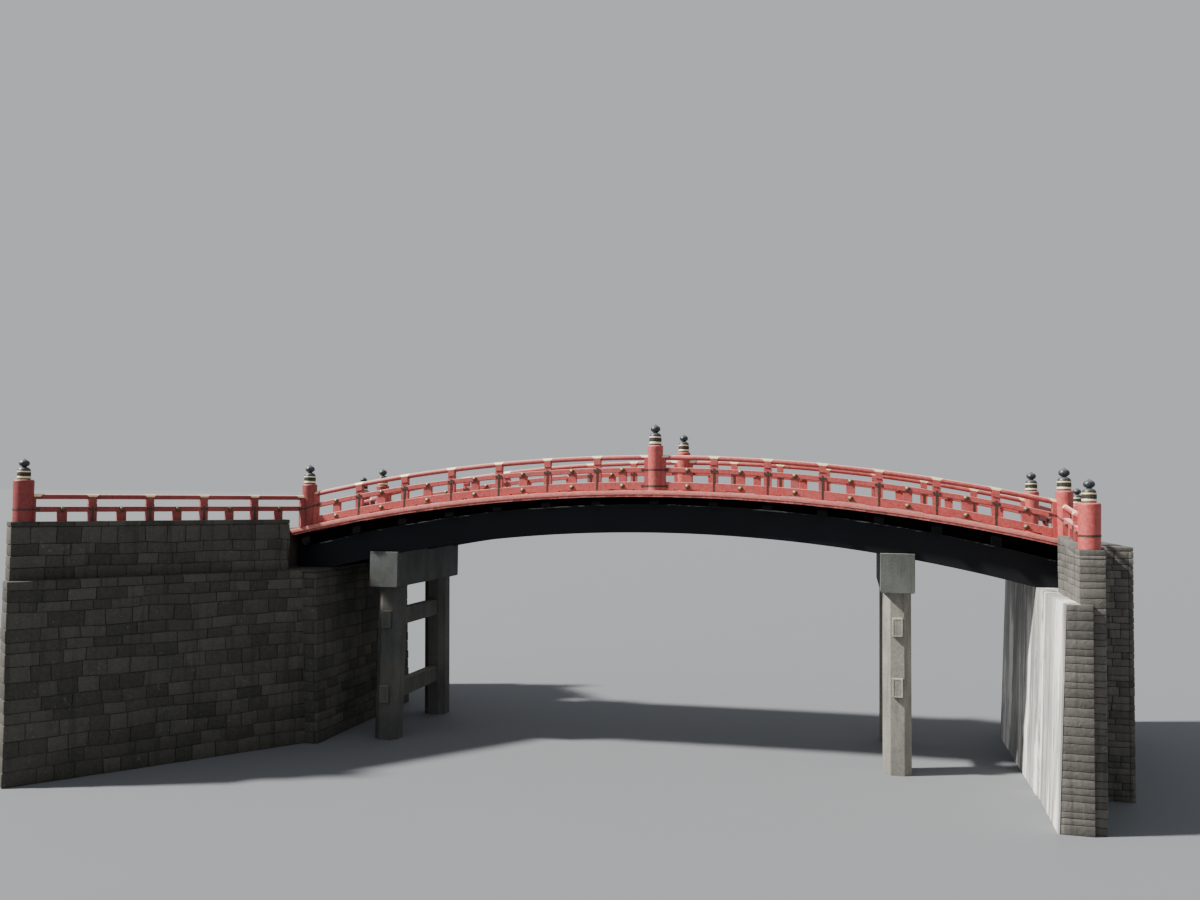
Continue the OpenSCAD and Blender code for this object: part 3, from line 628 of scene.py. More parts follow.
class Shape:
    """Points and faces gathered for one mesh. Its solids are closed."""

    def __init__(self):
        self.points = []
        self.faces = []

    def skin(self, rings):
        """A skin over rings of points, with flat ends. A ring of one point is a tip."""
        starts = []
        for ring in rings:
            starts.append(len(self.points))
            self.points.extend(ring)
        for k in range(len(rings) - 1):
            first, second = rings[k], rings[k + 1]
            steps = max(len(first), len(second))
            for i in range(steps):
                j = (i + 1) % steps
                corners = [starts[k] + i % len(first), starts[k] + j % len(first),
                           starts[k + 1] + j % len(second), starts[k + 1] + i % len(second)]
                self.faces.append(list(dict.fromkeys(corners)))
        for k in (0, len(rings) - 1):
            if len(rings[k]) > 2:
                self.faces.append([starts[k] + i for i in range(len(rings[k]))])
        return self

    def lathe(self, profile, steps=48):
        """A turned solid about Z from radii and heights."""
        rings = []
        for radius, z in profile:
            around = [math.tau * i / steps for i in range(steps)] if radius > 0 else [0.0]
            rings.append([Vector((radius * math.cos(a), radius * math.sin(a), z)) for a in around])
        return self.skin(rings)

    def plate(self, outline, low_y, high_y, chamfer):
        """A flat plate that faces -Y, from its outline in X and Z, with chamfered edges."""
        centre = sum((Vector(p) for p in outline), Vector((0, 0))) / len(outline)
        inner = []
        for p in outline:
            ray = Vector(p) - centre
            inner.append(centre + ray * (1 - chamfer / max(ray.length, chamfer)))
        layers = [(outline, high_y), (outline, low_y + chamfer), (inner, low_y)]
        return self.skin([[Vector((p[0], y, p[1])) for p in points] for points, y in layers])

    def moved(self, matrix):
        self.points = [matrix @ p for p in self.points]
        return self

    def join(self, other):
        """Takes in the points and faces of another shape."""
        first = len(self.points)
        self.faces.extend([first + i for i in face] for face in other.faces)
        self.points.extend(other.points)

    def mesh(self, name, angle):
        mesh = bpy.data.meshes.new(name)
        mesh.from_pydata(self.points, [], self.faces)
        solid = bmesh.new()
        solid.from_mesh(mesh)
        bmesh.ops.recalc_face_normals(solid, faces=solid.faces)
        solid.to_mesh(mesh)
        solid.free()
        smooth(mesh, angle)
        return mesh


def smooth(mesh, angle=SMOOTH_UNDER):
    """Smooth shading, with the edges sharper than an angle in degrees kept."""
    mesh.shade_smooth()
    mesh.set_sharp_from_angle(angle=math.radians(angle))


def new_object(name, mesh):
    item = bpy.data.objects.new(name, mesh)
    bpy.context.scene.collection.objects.link(item)
    return item


def solved(item):
    """Turns an object's modifiers into its mesh."""
    bpy.context.view_layer.update()
    graph = bpy.context.evaluated_depsgraph_get()
    mesh = bpy.data.meshes.new_from_object(item.evaluated_get(graph), depsgraph=graph)
    item.modifiers.clear()
    item.data = mesh
    return item


def handed_in(item, slot, *nodes):
    """Makes an object a piece of the bridge, in place of CAD nodes where some are given."""
    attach(item, BODY)
    if nodes:
        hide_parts(*nodes)
    return item


def fitting_piece(name, shape, finish, slot):
    """A piece made from a shape whose points are already in the frame."""
    mesh = shape.mesh(name, SMOOTH_UNDER)
    mesh.materials.append(finish)
    return handed_in(new_object(name, mesh), slot)


def geometry_tree(name, inputs):
    """A Geometry Nodes tree with named inputs, as its Nodes and the sockets of those inputs."""
    tree = bpy.data.node_groups.new(name, "GeometryNodeTree")
    tree.interface.new_socket("Geometry", in_out="OUTPUT", socket_type="NodeSocketGeometry")
    tree.interface.new_socket("Geometry", in_out="INPUT", socket_type="NodeSocketGeometry")
    for label, kind in inputs.items():
        tree.interface.new_socket(label, in_out="INPUT", socket_type=kind)
    nodes = Nodes(tree)
    entry = tree.nodes.new("NodeGroupInput")
    return nodes, {s.name: Socket(nodes, s) for s in entry.outputs if s.name}


def end_tree(nodes, geometry):
    """Leads a tree's last geometry out of it."""
    exit_node = nodes.tree.nodes.new("NodeGroupOutput")
    nodes.feed(exit_node.inputs[0], geometry)
    return nodes.tree


def run_tree(item, tree, values):
    """Runs a tree on an object, with values for its named inputs."""
    modifier = item.modifiers.new(tree.name, "NODES")
    modifier.node_group = tree
    for entry in tree.interface.items_tree:
        if entry.item_type == "SOCKET" and entry.in_out == "INPUT" and entry.name in values:
            modifier[entry.identifier] = values[entry.name]
    return solved(item)


def copies_tree():
    """Copies of a fitting on points, turned and sized by the points' attributes, each with a tone."""
    nodes, given = geometry_tree("fitting_copies", {
        "Fitting": "NodeSocketObject", "Finish": "NodeSocketMaterial", "Seed": "NodeSocketInt"})

    def attribute(label):
        settings = {"data_type": "FLOAT_VECTOR"}
        return nodes.add("GeometryNodeInputNamedAttribute", settings, {"Name": label})

    rotation = nodes.add("FunctionNodeEulerToRotation", None, {0: attribute("turn")})
    fitting = nodes.add("GeometryNodeObjectInfo", {"transform_space": "ORIGINAL"},
                        {"Object": given["Fitting"]}, output="Geometry")
    copies = nodes.add("GeometryNodeInstanceOnPoints", None, {
        "Points": given["Geometry"], "Instance": fitting, "Rotation": rotation,
        "Scale": attribute("size")})
    tone = nodes.add("FunctionNodeRandomValue", {"data_type": "FLOAT"}, {"Seed": given["Seed"]},
                     output=1)
    toned = nodes.add("GeometryNodeStoreNamedAttribute", {"data_type": "FLOAT", "domain": "INSTANCE"},
                      {"Geometry": copies, "Name": "tone", "Value": tone})
    real = nodes.add("GeometryNodeRealizeInstances", None, {0: toned})
    moved = nodes.add("GeometryNodeSetPosition", None, {"Geometry": real, "Offset": attribute("arris")})
    finished = nodes.add("GeometryNodeSetMaterial", None, {0: moved, "Material": given["Finish"]})
    return end_tree(nodes, finished)


COPIES = copies_tree()


def repeated(name, shape, places, finish, slot, seed=0, sizes=None, angle=SMOOTH_UNDER):
    """One piece made of copies of a shape at the given places."""
    fitting = new_object(name + "_one", shape.mesh(name + "_one", angle))
    add_arris(fitting.data, shape)
    points = bpy.data.meshes.new(name)
    points.from_pydata([m.translation for m in places], [], [])
    turns = points.attributes.new("turn", "FLOAT_VECTOR", "POINT")
    turns.data.foreach_set("vector", [a for m in places for a in m.to_euler()])
    spread = points.attributes.new("size", "FLOAT_VECTOR", "POINT")
    spread.data.foreach_set("vector", [a for s in sizes or [(1, 1, 1)] * len(places) for a in s])
    item = new_object(name, points)
    run_tree(item, COPIES, {"Fitting": fitting, "Finish": finish, "Seed": seed})
    bpy.data.objects.remove(fitting)
    smooth(item.data, angle)
    return handed_in(item, slot)


def add_arris(mesh, shape):
    """Offsets that round the edges of a block after it has been stretched to its size."""
    offsets = getattr(shape, "arris", None) or [(0, 0, 0)] * len(mesh.vertices)
    attribute = mesh.attributes.new("arris", "FLOAT_VECTOR", "POINT")
    attribute.data.foreach_set("vector", [a for offset in offsets for a in offset])


def unit_stone(arris):
    """A block of size 1 whose points lie in its corners, with the offsets that round its edges."""
    shape = Shape()
    steps = (-1.0, -0.5, 0.5, 1.0)
    index = {}
    shape.arris = []

    def corner(i, j, k):
        if (i, j, k) not in index:
            index[i, j, k] = len(shape.points)
            grid = Vector((steps[i], steps[j], steps[k]))
            sign = Vector((math.copysign(1, c) for c in grid))
            outwards = Vector((c if abs(c) == 1 else 0 for c in grid)).normalized()
            shape.points.append(sign / 2)
            shape.arris.append((outwards - sign) * arris)
        return index[i, j, k]

    for a in range(3):
        for b in range(3):
            for end in (0, 3):
                for axes in ((0, 1, 2), (1, 2, 0), (2, 0, 1)):
                    face = []
                    for u, v in ((a, b), (a + 1, b), (a + 1, b + 1), (a, b + 1)):
                        spot = [0, 0, 0]
                        spot[axes[0]], spot[axes[1]], spot[axes[2]] = u, v, end
                        face.append(corner(*spot))
                    shape.faces.append(face if end else face[::-1])
    return shape


def bar_tree():
    """A bar with a rectangular section along a path, with its height kept upright."""
    nodes, given = geometry_tree("bar_on_path", {
        "Width": "NodeSocketFloat", "Height": "NodeSocketFloat", "Arris": "NodeSocketFloat",
        "Finish": "NodeSocketMaterial"})
    path = nodes.add("GeometryNodeMeshToCurve", None, {0: given["Geometry"]})
    upright = nodes.add("GeometryNodeSetCurveNormal", {"mode": "Z_UP"}, {0: path})
    section = nodes.add("GeometryNodeCurvePrimitiveQuadrilateral", None, {
        "Width": given["Width"], "Height": given["Height"]})
    rounded = nodes.add("GeometryNodeFilletCurve", {"mode": "POLY"}, {
        "Curve": section, "Count": 2, "Radius": given["Arris"]})
    bar = nodes.add("GeometryNodeCurveToMesh", None, {0: upright, 1: rounded, "Fill Caps": True})
    finished = nodes.add("GeometryNodeSetMaterial", None, {0: bar, "Material": given["Finish"]})
    return end_tree(nodes, finished)


BAR = bar_tree()


def bent_bars(name, bars, width, height, arris, finish, slot):
    """Bars along arcs: each is (arc of its middle, y, from x, to x)."""
    stretch = 0.4
    points, edges = [], []
    for arc, y, start, stop in bars:
        steps = max(2, round(abs(stop - start) / stretch))
        first = len(points)
        xs = [start + (stop - start) * i / steps for i in range(steps + 1)]
        points.extend(at(x, y, arc.z(x)) for x in xs)
        edges.extend((first + i, first + i + 1) for i in range(steps))
    path = bpy.data.meshes.new(name)
    path.from_pydata(points, edges, [])
    item = run_tree(new_object(name, path), BAR, {
        "Width": width, "Height": height, "Arris": arris, "Finish": finish})
    smooth(item.data)
    return handed_in(item, slot)


def merged_copy(node, name):
    """A copy of a CAD node with its faces joined, and no wall left inside where two solids meet."""
    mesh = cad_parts[node].data.copy()
    solid = bmesh.new()
    solid.from_mesh(mesh)
    bmesh.ops.remove_doubles(solid, verts=solid.verts, dist=MERGE_UNDER)
    flat = math.radians(0.5)
    bmesh.ops.dissolve_limit(solid, angle_limit=flat, verts=solid.verts, edges=solid.edges)
    walls = [f for f in solid.faces if all(len(e.link_faces) > 2 for e in f.edges)]
    if walls:
        bmesh.ops.delete(solid, geom=walls, context="FACES_ONLY")
        bmesh.ops.dissolve_limit(solid, angle_limit=flat, verts=solid.verts, edges=solid.edges)
    solid.to_mesh(mesh)
    solid.free()
    mesh.materials.clear()
    return new_object(name, mesh)


def softened(node, finish, slot, edge):
    """A CAD node with its arrises taken off."""
    item = merged_copy(node, node + "_dressed")
    smooth(item.data)
    bevel = item.modifiers.new("edges", "BEVEL")
    bevel.harden_normals = True
    bevel.width = edge
    bevel.segments = 2
    bevel.limit_method = "ANGLE"
    bevel.angle_limit = BEVEL_OVER
    solved(item)
    item.data.materials.clear()
    item.data.materials.append(finish)
    return handed_in(item, slot, node)


def saddle():
    """A sheet of brass over the top rail at a strut: X along the rail, whose middle is the origin."""
    sheet, lift, flange = 0.006, 0.001, 0.118
    foot, spread = 0.125, 0.105
    crest, crest_spread = 0.9, 0.2
    inner = TOP_RAIL_D / 2
    outer = inner + sheet

    def ring(half, upper, lower):
        corners = ((-half, upper), (half, upper), (half, lower), (-half, lower))
        return [Vector((x, *spot)) for x, spot in corners]

    rings = [ring(foot, (-flange, sheet), (-flange, lift))]
    for degrees in range(-90, 91, 12):
        y, z = math.sin(math.radians(degrees)), math.cos(math.radians(degrees))
        half = foot + spread * z + crest_spread * max(0, z - crest)
        rings.append(ring(half, (outer * y, outer * z + lift), (inner * y, inner * z + lift)))
    rings.append(ring(foot, (flange, sheet), (flange, lift)))
    return Shape().skin(rings)


def dome(shape, x, z, radius, y):
    """A rivet's head on the face at y, which looks towards -Y."""
    head = Shape().lathe([(radius, 0), (radius * 0.8, radius * 0.45), (0, radius * 0.7)], 8)
    shape.join(head.moved(Matrix.Translation((x, y, z)) @ Matrix.Rotation(math.pi / 2, 4, "X")))


def strap_leaf():
    """A scalloped plate for the middle rail at a strut."""
    steps = 24
    half, waist, lobe = 0.145, 0.018, 0.042
    tip, tip_share = 0.03, 0.15
    rivet_x, rivet_r = 0.10, 0.012
    upper = []
    for i in range(steps + 1):
        x = -half + 2 * half * i / steps
        height = waist + lobe * abs(math.cos(1.5 * math.pi * x / half))
        upper.append((x, height * min(1.0, (half - abs(x)) / tip + tip_share)))
    outline = upper + [(x, -z) for x, z in reversed(upper)]
    shape = Shape().plate(outline, -LEAF_SHEET, 0.0, SHEET_CHAMFER)
    for x in both_halves([rivet_x]):
        dome(shape, x, 0, rivet_r, -LEAF_SHEET)
    return shape


def strap_band(length):
    """An upright band that hangs from the origin, with flared ends and rivets."""
    half, flare, neck = 0.031, 0.046, 0.05
    margin, spacing, rivet_r = 0.03, 0.14, 0.010
    outline = [(-flare, 0), (flare, 0), (half, -neck), (half, neck - length), (flare, -length),
               (-flare, -length), (-half, neck - length), (-half, -neck)]
    depth = (RAIL_THICKNESS - STRUT_THICKNESS) / 2
    shape = Shape().plate(outline, -BAND_SHEET, depth, SHEET_CHAMFER)
    rivets = max(2, round(length / spacing))
    for i in range(rivets):
        z = -margin - (length - 2 * margin) * i / (rivets - 1)
        dome(shape, 0, z, rivet_r, -BAND_SHEET)
    return shape


def stud():
    """A pointed dome on a collar, which looks towards -Y."""
    profile = [(0.092, 0.0), (0.092, 0.010), (0.084, 0.016), (0.080, 0.016), (0.079, 0.024),
               (0.070, 0.040), (0.052, 0.056), (0.030, 0.066), (0.012, 0.074), (0, 0.080)]
    return Shape().lathe(profile, 20).moved(Matrix.Rotation(math.pi / 2, 4, "X"))


def strap_places(railings):
    """Where the fittings on both faces of the railings go, by kind."""
    face_y = RAIL_THICKNESS / 2
    places = {"saddle": [], "leaf": [], "stud": []}
    for railing in railings:
        for x in railing.struts:
            places["saddle"].append(railing.place(x, 0, railing.rail))
            for face in (-1, 1):
                places["leaf"].append(railing.place(x, face * (face_y + BAND_SHEET), railing.mid, face))
        for x in railing.half_bays:
            for face in (-1, 1):
                places["stud"].append(railing.place(x, face * face_y, railing.mid, face))
                if isinstance(railing.foot, Arc):
                    low = railing.foot.grown(-BOTTOM_RAIL / 2)
                    places["stud"].append(railing.place(x, face * face_y, low, face))
    return places


def band_places(railings):
    """Where the upright bands hang on both faces of the struts."""
    face_y = RAIL_THICKNESS / 2
    return [railing.plumb(x, face * face_y, railing.mid.z(x) + MID_RAIL / 2, face)
            for railing in railings for x in railing.struts for face in (-1, 1)]


def post_saddle_places():
    """Saddles over the struts beside the posts, each a little clear of its post."""
    crown_gap, end_gap, wing_gap, wing_end_gap = 0.10, 0.05, 0.04, 0.14
    places = []
    for railing in BRIDGE_RAILINGS:
        for x in both_halves([POST_STRUT + crown_gap, HALF_SPAN - POST_STRUT - end_gap]):
            places.append(railing.place(x, 0, railing.rail))
    for wing in WINGS:
        for x in (WING_FIRST_BAY + wing_gap, wing.length - WING_LAST_STRUT - wing_end_gap):
            places.append(wing.place(x, 0, wing.rail))
    return places


def band_ring(spot, out, z, half):
    """The four corners of a band's section at a spot, out from the timber behind it."""
    near, far = spot - out * POST_STRAP_SINK, spot + out * BAND_SHEET
    return [Vector((*near, z - half)), Vector((*far, z - half)),
            Vector((*far, z + half)), Vector((*near, z + half))]


class Arm:
    """One end of a strap round a post: where it lies on a railing that leaves the post."""

    def __init__(self, railing, post_x, sense, curve, strut):
        self.post_x = post_x
        self.sense = sense
        self.curve = curve
        self.strut = strut
        self.turn = railing.turn + (0 if sense > 0 else math.pi)

    def z(self, distance):
        return self.curve.z(self.post_x + self.sense * distance)

    def corners(self, radius):
        """From the tip inwards: distance from the post's middle, from the railing's, and half width."""
        face, head = RAIL_THICKNESS / 2, HEAD_THICKNESS / 2
        end = self.strut + STRUT_WIDTH / 2
        contact = math.sqrt(radius**2 - head**2)
        half, wide = POST_STRAP_HALF, POST_STRAP_TIP
        tip, neck, bend, curl = 0.11, 0.07, 0.004, 0.02
        return [(end + tip, face, wide), (end + neck, face, wide), (end + bend, face, half),
                (end, head, half), (contact + curl, head, half), (contact, head, half)]

    def stops(self, centre, radius, side):
        """The strap's stops along the arm as (spot, way out, height, half width)."""
        along = Vector((math.cos(self.turn), math.sin(self.turn)))
        out = Vector((-along.y, along.x)) * side
        for distance, offset, half in self.corners(radius):
            yield centre + along * distance + out * offset, out, self.z(distance), half


def post_strap(shape, centre, first, second, way, radius):
    """A strap from one arm round the post to the other. way is 1 counter-clockwise, -1 clockwise."""
    towards = list(first.stops(centre, radius, way))
    away = list(second.stops(centre, radius, -way))
    slip = math.asin(HEAD_THICKNESS / 2 / radius)
    start = first.turn + way * slip
    sweep = way * ((way * (second.turn - first.turn) - 2 * slip) % math.tau)
    z0, z1 = towards[-1][2], away[-1][2]
    around = []
    facet = 0.15
    steps = max(4, round(abs(sweep) / facet))
    for i in range(1, steps):
        angle = start + sweep * i / steps
        out = Vector((math.cos(angle), math.sin(angle)))
        around.append((centre + out * radius, out, z0 + (z1 - z0) * i / steps, POST_STRAP_HALF))
    shape.skin([band_ring(*stop) for stop in towards + around + away[::-1]])


def post_radius(share):
    """Radius of a bridge post at a share of its height."""
    return POST_FOOT_R + (POST_TOP_R - POST_FOOT_R) * share


def add_post_straps(finish):
    """Two straps on each face of a crown post, one on the other bridge posts and the approach posts."""
    shape = Shape()
    for railing in BRIDGE_RAILINGS:
        low = railing.foot.grown(-BOTTOM_RAIL / 2)
        centre = (railing.frame @ Vector((0, 0, 0))).xy
        for curve, radius in ((railing.mid, post_radius(0.5)), (low, post_radius(0.2))):
            arms = [Arm(railing, 0, sense, curve, POST_STRUT) for sense in (1, -1)]
            for way in (1, -1):
                post_strap(shape, centre, arms[0], arms[1], way, radius)
    for wing in WINGS:
        railing = BRIDGE_RAILINGS[list(SIDES).index(wing.stream)]
        centre = middle(f"post_{wing.name}").xy
        outwards = 1 if wing.side == "right" else -1
        bridge_arm = Arm(railing, outwards * HALF_SPAN, -outwards, railing.mid, POST_STRUT)
        wing_arm = Arm(wing, 0, 1, wing.mid, POST_STRUT)
        for way in (1, -1):
            post_strap(shape, centre, bridge_arm, wing_arm, way, post_radius(0.5))
        end = (wing.frame @ Vector((wing.length, 0, 0))).xy
        back = Arm(wing, wing.length, -1, wing.mid, WING_LAST_STRUT)
        radius = (WING_POST_FOOT_R + WING_POST_TOP_R) / 2
        post_strap(shape, end, back, back, 1, radius)
    fitting_piece("post_straps", shape, finish, "bronze")


def cap_profile(scale):
    """Radii and heights of a cap: sleeve, dome, neck and a jewel drawn out to a point."""
    h, sleeve, hem = CAP_HEIGHT, CAP_SLEEVE_R, CAP_SLEEVE_R + 0.006
    neck, jewel = 0.325 * CAP_RING_R, 0.79 * CAP_RING_R
    shoulder, belly = 0.414, 0.752
    points = [(hem, 0), (hem, 0.022), (sleeve, 0.026), (sleeve, shoulder * h)]

    def bow(first, last, steps, core, reach, z, rise):
        """Adds points from one angle to another along an oval."""
        for i in range(steps + 1):
            a = math.radians(first + (last - first) * i / steps)
            points.append((core + reach * math.cos(a), (z + rise * math.sin(a)) * h))

    bow(90 / 12, 90, 11, neck, sleeve - neck, shoulder, 0.166)
    points += [(neck + 0.012, 0.583 * h), (neck + 0.014, 0.592 * h), (neck + 0.004, 0.598 * h)]
    bow(-65, 0, 13, 0, jewel, belly, 0.16)
    bow(50 / 7, 50, 6, 0, jewel, belly, 0.19)
    tip_r, tip_z = points[-1]
    steps = 8
    points += [(tip_r * (1 - i / steps) ** 1.25, tip_z + (h - tip_z) * i / steps)
               for i in range(1, steps + 1)]
    return [(r * scale, z * scale) for r, z in points]


def cap_rings(scale):
    """The two gilt rings, each with a rounded face."""
    shape = Shape()
    r = CAP_RING_R * scale
    inside, corner, bend = r - 0.012, r - 0.004, 0.008
    for low, high in CAP_RINGS:
        z0, z1 = low * CAP_HEIGHT * scale, high * CAP_HEIGHT * scale
        shape.lathe([(inside, z0), (corner, z0), (r, z0 + bend),
                     (r, z1 - bend), (corner, z1), (inside, z1)])
    return shape


def cap_band(scale):
    """The dark sheet round the sleeve, behind the rings."""
    clear, sheet = 0.004, 0.008
    r = (CAP_SLEEVE_R + clear) * scale
    inside = r - sheet
    z0, z1 = (share * CAP_HEIGHT * scale for share in CAP_BAND)
    return Shape().lathe([(inside, z0), (r, z0), (r, z1), (inside, z1)])


def cap_bosses(scale):
    """Lozenges in relief between the rings."""
    shape = Shape()
    wide, tall, level = 0.036, 0.052, 0.25
    proud, sunk, chamfer, clear = 0.008, 0.004, 0.004, 0.001
    lozenge = [(-wide, 0), (0, -tall), (wide, 0), (0, tall)]
    place = Matrix.Translation((0, -CAP_SLEEVE_R * scale - clear, level * CAP_HEIGHT * scale))
    for i in range(CAP_BOSSES):
        plate = Shape().plate(lozenge, -proud, sunk, chamfer)
        shape.join(plate.moved(Matrix.Rotation(math.tau * i / CAP_BOSSES, 4, "Z") @ place))
    return shape


def add_caps(bronze, sleeve, brass):
    """Finer caps in place of the frame's, on bridge posts and smaller on approach posts."""
    for stream in SIDES:
        tops = [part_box(f"post_{side}_{stream}") for side in ("left", "centre", "right")]
        wing_tops = [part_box(f"wing_post_{side}_{stream}") for side in ("left", "right")]
        kinds = (("caps", tops, 1.0), ("wing_caps", wing_tops, WING_CAP_SCALE))
        for label, boxes, scale in kinds:
            places = [Matrix.Translation(((low.x + high.x) / 2, (low.y + high.y) / 2, high.z))
                      for low, high in boxes]
            body = Shape().lathe(cap_profile(scale))
            item = repeated(f"{label}_{stream}_body", body, places, bronze, "bronze", angle=50)
            repeated(f"{label}_{stream}_rings", cap_rings(scale), places, brass, "bronze")
            repeated(f"{label}_{stream}_band", cap_band(scale), places, sleeve, "bronze")
            repeated(f"{label}_{stream}_relief", cap_bosses(scale), places, sleeve, "bronze")
            if label == "caps":
                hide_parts(f"caps_{stream}")


def add_planks(finish):
    """Planks side by side along the deck, none quite in line or level with the next."""
    end_gap = 0.01
    angle = DECK_TOP.dip(DECK_X - end_gap)
    count = round(2 * angle * DECK_TOP.radius / PLANK_WIDTH)
    half = angle * DECK_TOP.radius / count
    edge, slip, sink = 0.007, 0.006, 0.004
    section = [(-half, -DECK_THICKNESS), (half, -DECK_THICKNESS), (half, -edge), (half - edge, 0),
               (edge - half, 0), (-half, -edge)]
    reach = DECK_Y - PLANK_SETBACK
    plank = Shape().skin([[Vector((x, y, z)) for x, z in section] for y in (-reach, reach)])
    jitter = random.Random(5)
    centre = Matrix.Translation(at(0, 0, DECK_TOP.crown_z - DECK_TOP.radius))
    places = []
    for i in range(count):
        turn = Matrix.Rotation(-angle + 2 * angle * (i + 0.5) / count, 4, "Y")
        y, drop = jitter.uniform(-slip, slip), jitter.uniform(0.0, sink)
        places.append(centre @ turn @ Matrix.Translation((0, y, DECK_TOP.radius - drop)))
    item = repeated("deck_planks", plank, places, finish, "vermilion_timber", seed=3)
    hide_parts("deck")


def add_edge_strips(paint, tar):
    """A painted strip over the planks' ends, and one along the top of each outer girder with pale
    dashes of wear and painted highlight.
    """
    end_gap, proud = 0.02, 0.008
    paint_arris, tar_arris = 0.006, 0.004
    arc = DECK_TOP.grown(-EDGE_STRIP_HEIGHT / 2)
    y, reach = DECK_Y - STRIP_WIDTH / 2, DECK_X - end_gap
    bars = [(arc, side * y, -reach, reach) for side in (-1, 1)]
    bent_bars("deck_edge_strips", bars, STRIP_WIDTH, EDGE_STRIP_HEIGHT, paint_arris, paint,
              "vermilion_timber")
    arc = girder_arc().grown(-COVER_STRIP / 2)
    y = MIDDLE.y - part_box("girder_downstream")[0].y + proud
    bars = [(arc, side * y, -HALF_SPAN, HALF_SPAN) for side in (-1, 1)]
    bent_bars("girder_cover_strips", bars, STRIP_WIDTH, COVER_STRIP, tar_arris, tar,
              "tarred_timber")


def girder_arc():
    """The girders' top, through its crown and a corner near its end."""
    corners = [v.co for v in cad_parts["girder_downstream"].data.vertices]
    crown_z = max(co.z for co in corners)
    upwards = 0.2
    corner = max(corners, key=lambda co: co.x + co.z * upwards)
    run, drop = corner.x - MIDDLE.x, crown_z - corner.z
    return Arc((run**2 + drop**2) / (2 * drop), crown_z)


def shares(start, stop, length):
    """A stretch split evenly into pieces of about a length, as (from, to)."""
    count = max(1, round((stop - start) / length))
    edges = [start + (stop - start) * i / count for i in range(count + 1)]
    return list(zip(edges, edges[1:]))


class Masonry:
    """Squared stones gathered for one wall, in that wall's own frame."""

    def __init__(self, name, frame_matrix, side, seed):
        self.name = name
        self.frame = frame_matrix
        self.side = side
        self.rng = random.Random(seed)
        self.seed = seed
        self.stones = []

    def bond(self, length, height, first=0.0, stone=None):
        """Stones in level courses as (from x, to x, from z, to z), with their joints broken."""
        stone = stone or STONE_LENGTH[self.side]
        course = COURSE_HEIGHT[self.side]
        levels = [0.0]
        while levels[-1] < height - LOWEST_COURSE * course:
            levels.append(levels[-1] + course * self.rng.uniform(*COURSE_SPREAD))
        levels[-1] = height
        for z0, z1 in zip(levels, levels[1:]):
            x = first
            step = stone * self.rng.uniform(*FIRST_STONE)
            while x < length - NEARLY:
                end = x + step
                if length - end < SHORTEST_STONE * stone:
                    end = length
                yield x, end, z0, z1
                x = end
                step = stone * self.rng.uniform(*STONE_SPREAD)

    def courses(self, height):
        """The heights of level courses, from a narrow wall in which one long stone fills a course."""
        return [(z0, z1) for x0, x1, z0, z1 in self.bond(1.0, height, stone=9.0)]

    def run(self, start, stop):
        """One course's stones as (from, to), the last of them never a short one."""
        length = STONE_LENGTH[self.side]
        while start < stop - NEARLY:
            end = start + length * self.rng.uniform(*STONE_SPREAD)
            if stop - end < SHORTEST_STONE * length:
                end = stop
            yield start, end
            start = end

    def waver(self, co, top, end=None):
        """Moves a joint off its line, less so towards an end and the top and foot of the wall."""
        waves, apart = 0.9, Vector((0, 7.1, 0))
        spot = co * waves + Vector((self.seed, 0, 0))
        reach = WAVER[self.side]
        still_end, still_edge = 0.6, 0.5
        if end is not None:
            co.x += reach * min(max(end - co.x, 0.0) / still_end, 1.0) * noise.noise(spot)
        room = min(co.z / still_edge, 1.0) * min(max(top - co.z, 0.0) / still_edge, 1.0)
        co.z += reach * room * noise.noise(spot + apart)

    def add(self, low, high, faces=(0, 0, 0)):
        """A stone between two corners. It may stand back a little on each side where it shows."""
        low, high = Vector(low), Vector(high)
        gap = Vector((JOINT, JOINT, JOINT)) / 2
        for axis in range(3):
            if faces[axis]:
                back = self.rng.uniform(0.0, STONE_SETBACK[self.side])
                gap[axis] = 0.0
                if faces[axis] < 0:
                    low[axis] += back
                else:
                    high[axis] -= back
        self.stones.append((low + gap, high - gap))

    def finished(self, finish, slot, shaped=None):
        """The stones as one piece. shaped changes each point's place in the wall's own frame."""
        block = unit_stone(STONE_ARRIS[self.side])
        places = [Matrix.Translation((low + high) / 2) for low, high in self.stones]
        sizes = [high - low for low, high in self.stones]
        item = repeated(self.name, block, places, finish, slot, self.seed, sizes)
        if shaped:
            for v in item.data.vertices:
                shaped(v.co)
        item.data.transform(self.frame)
        return item


def add_core(nodes, finish):
    """Mortar behind the stones: the CAD nodes drawn in a little."""
    for node in nodes:
        item = merged_copy(node, node + "_mortar")
        solid = bmesh.new()
        solid.from_mesh(item.data)
        solid.normal_update()
        moves = [v.normal * MORTAR_SETBACK * v.calc_shell_factor() for v in solid.verts]
        for v, move in zip(solid.verts, moves):
            v.co -= move
            v.co.z = max(v.co.z, 0.0)
        solid.to_mesh(item.data)
        solid.free()
        item.data.materials.append(finish)
        handed_in(item, "wall_stone", node)


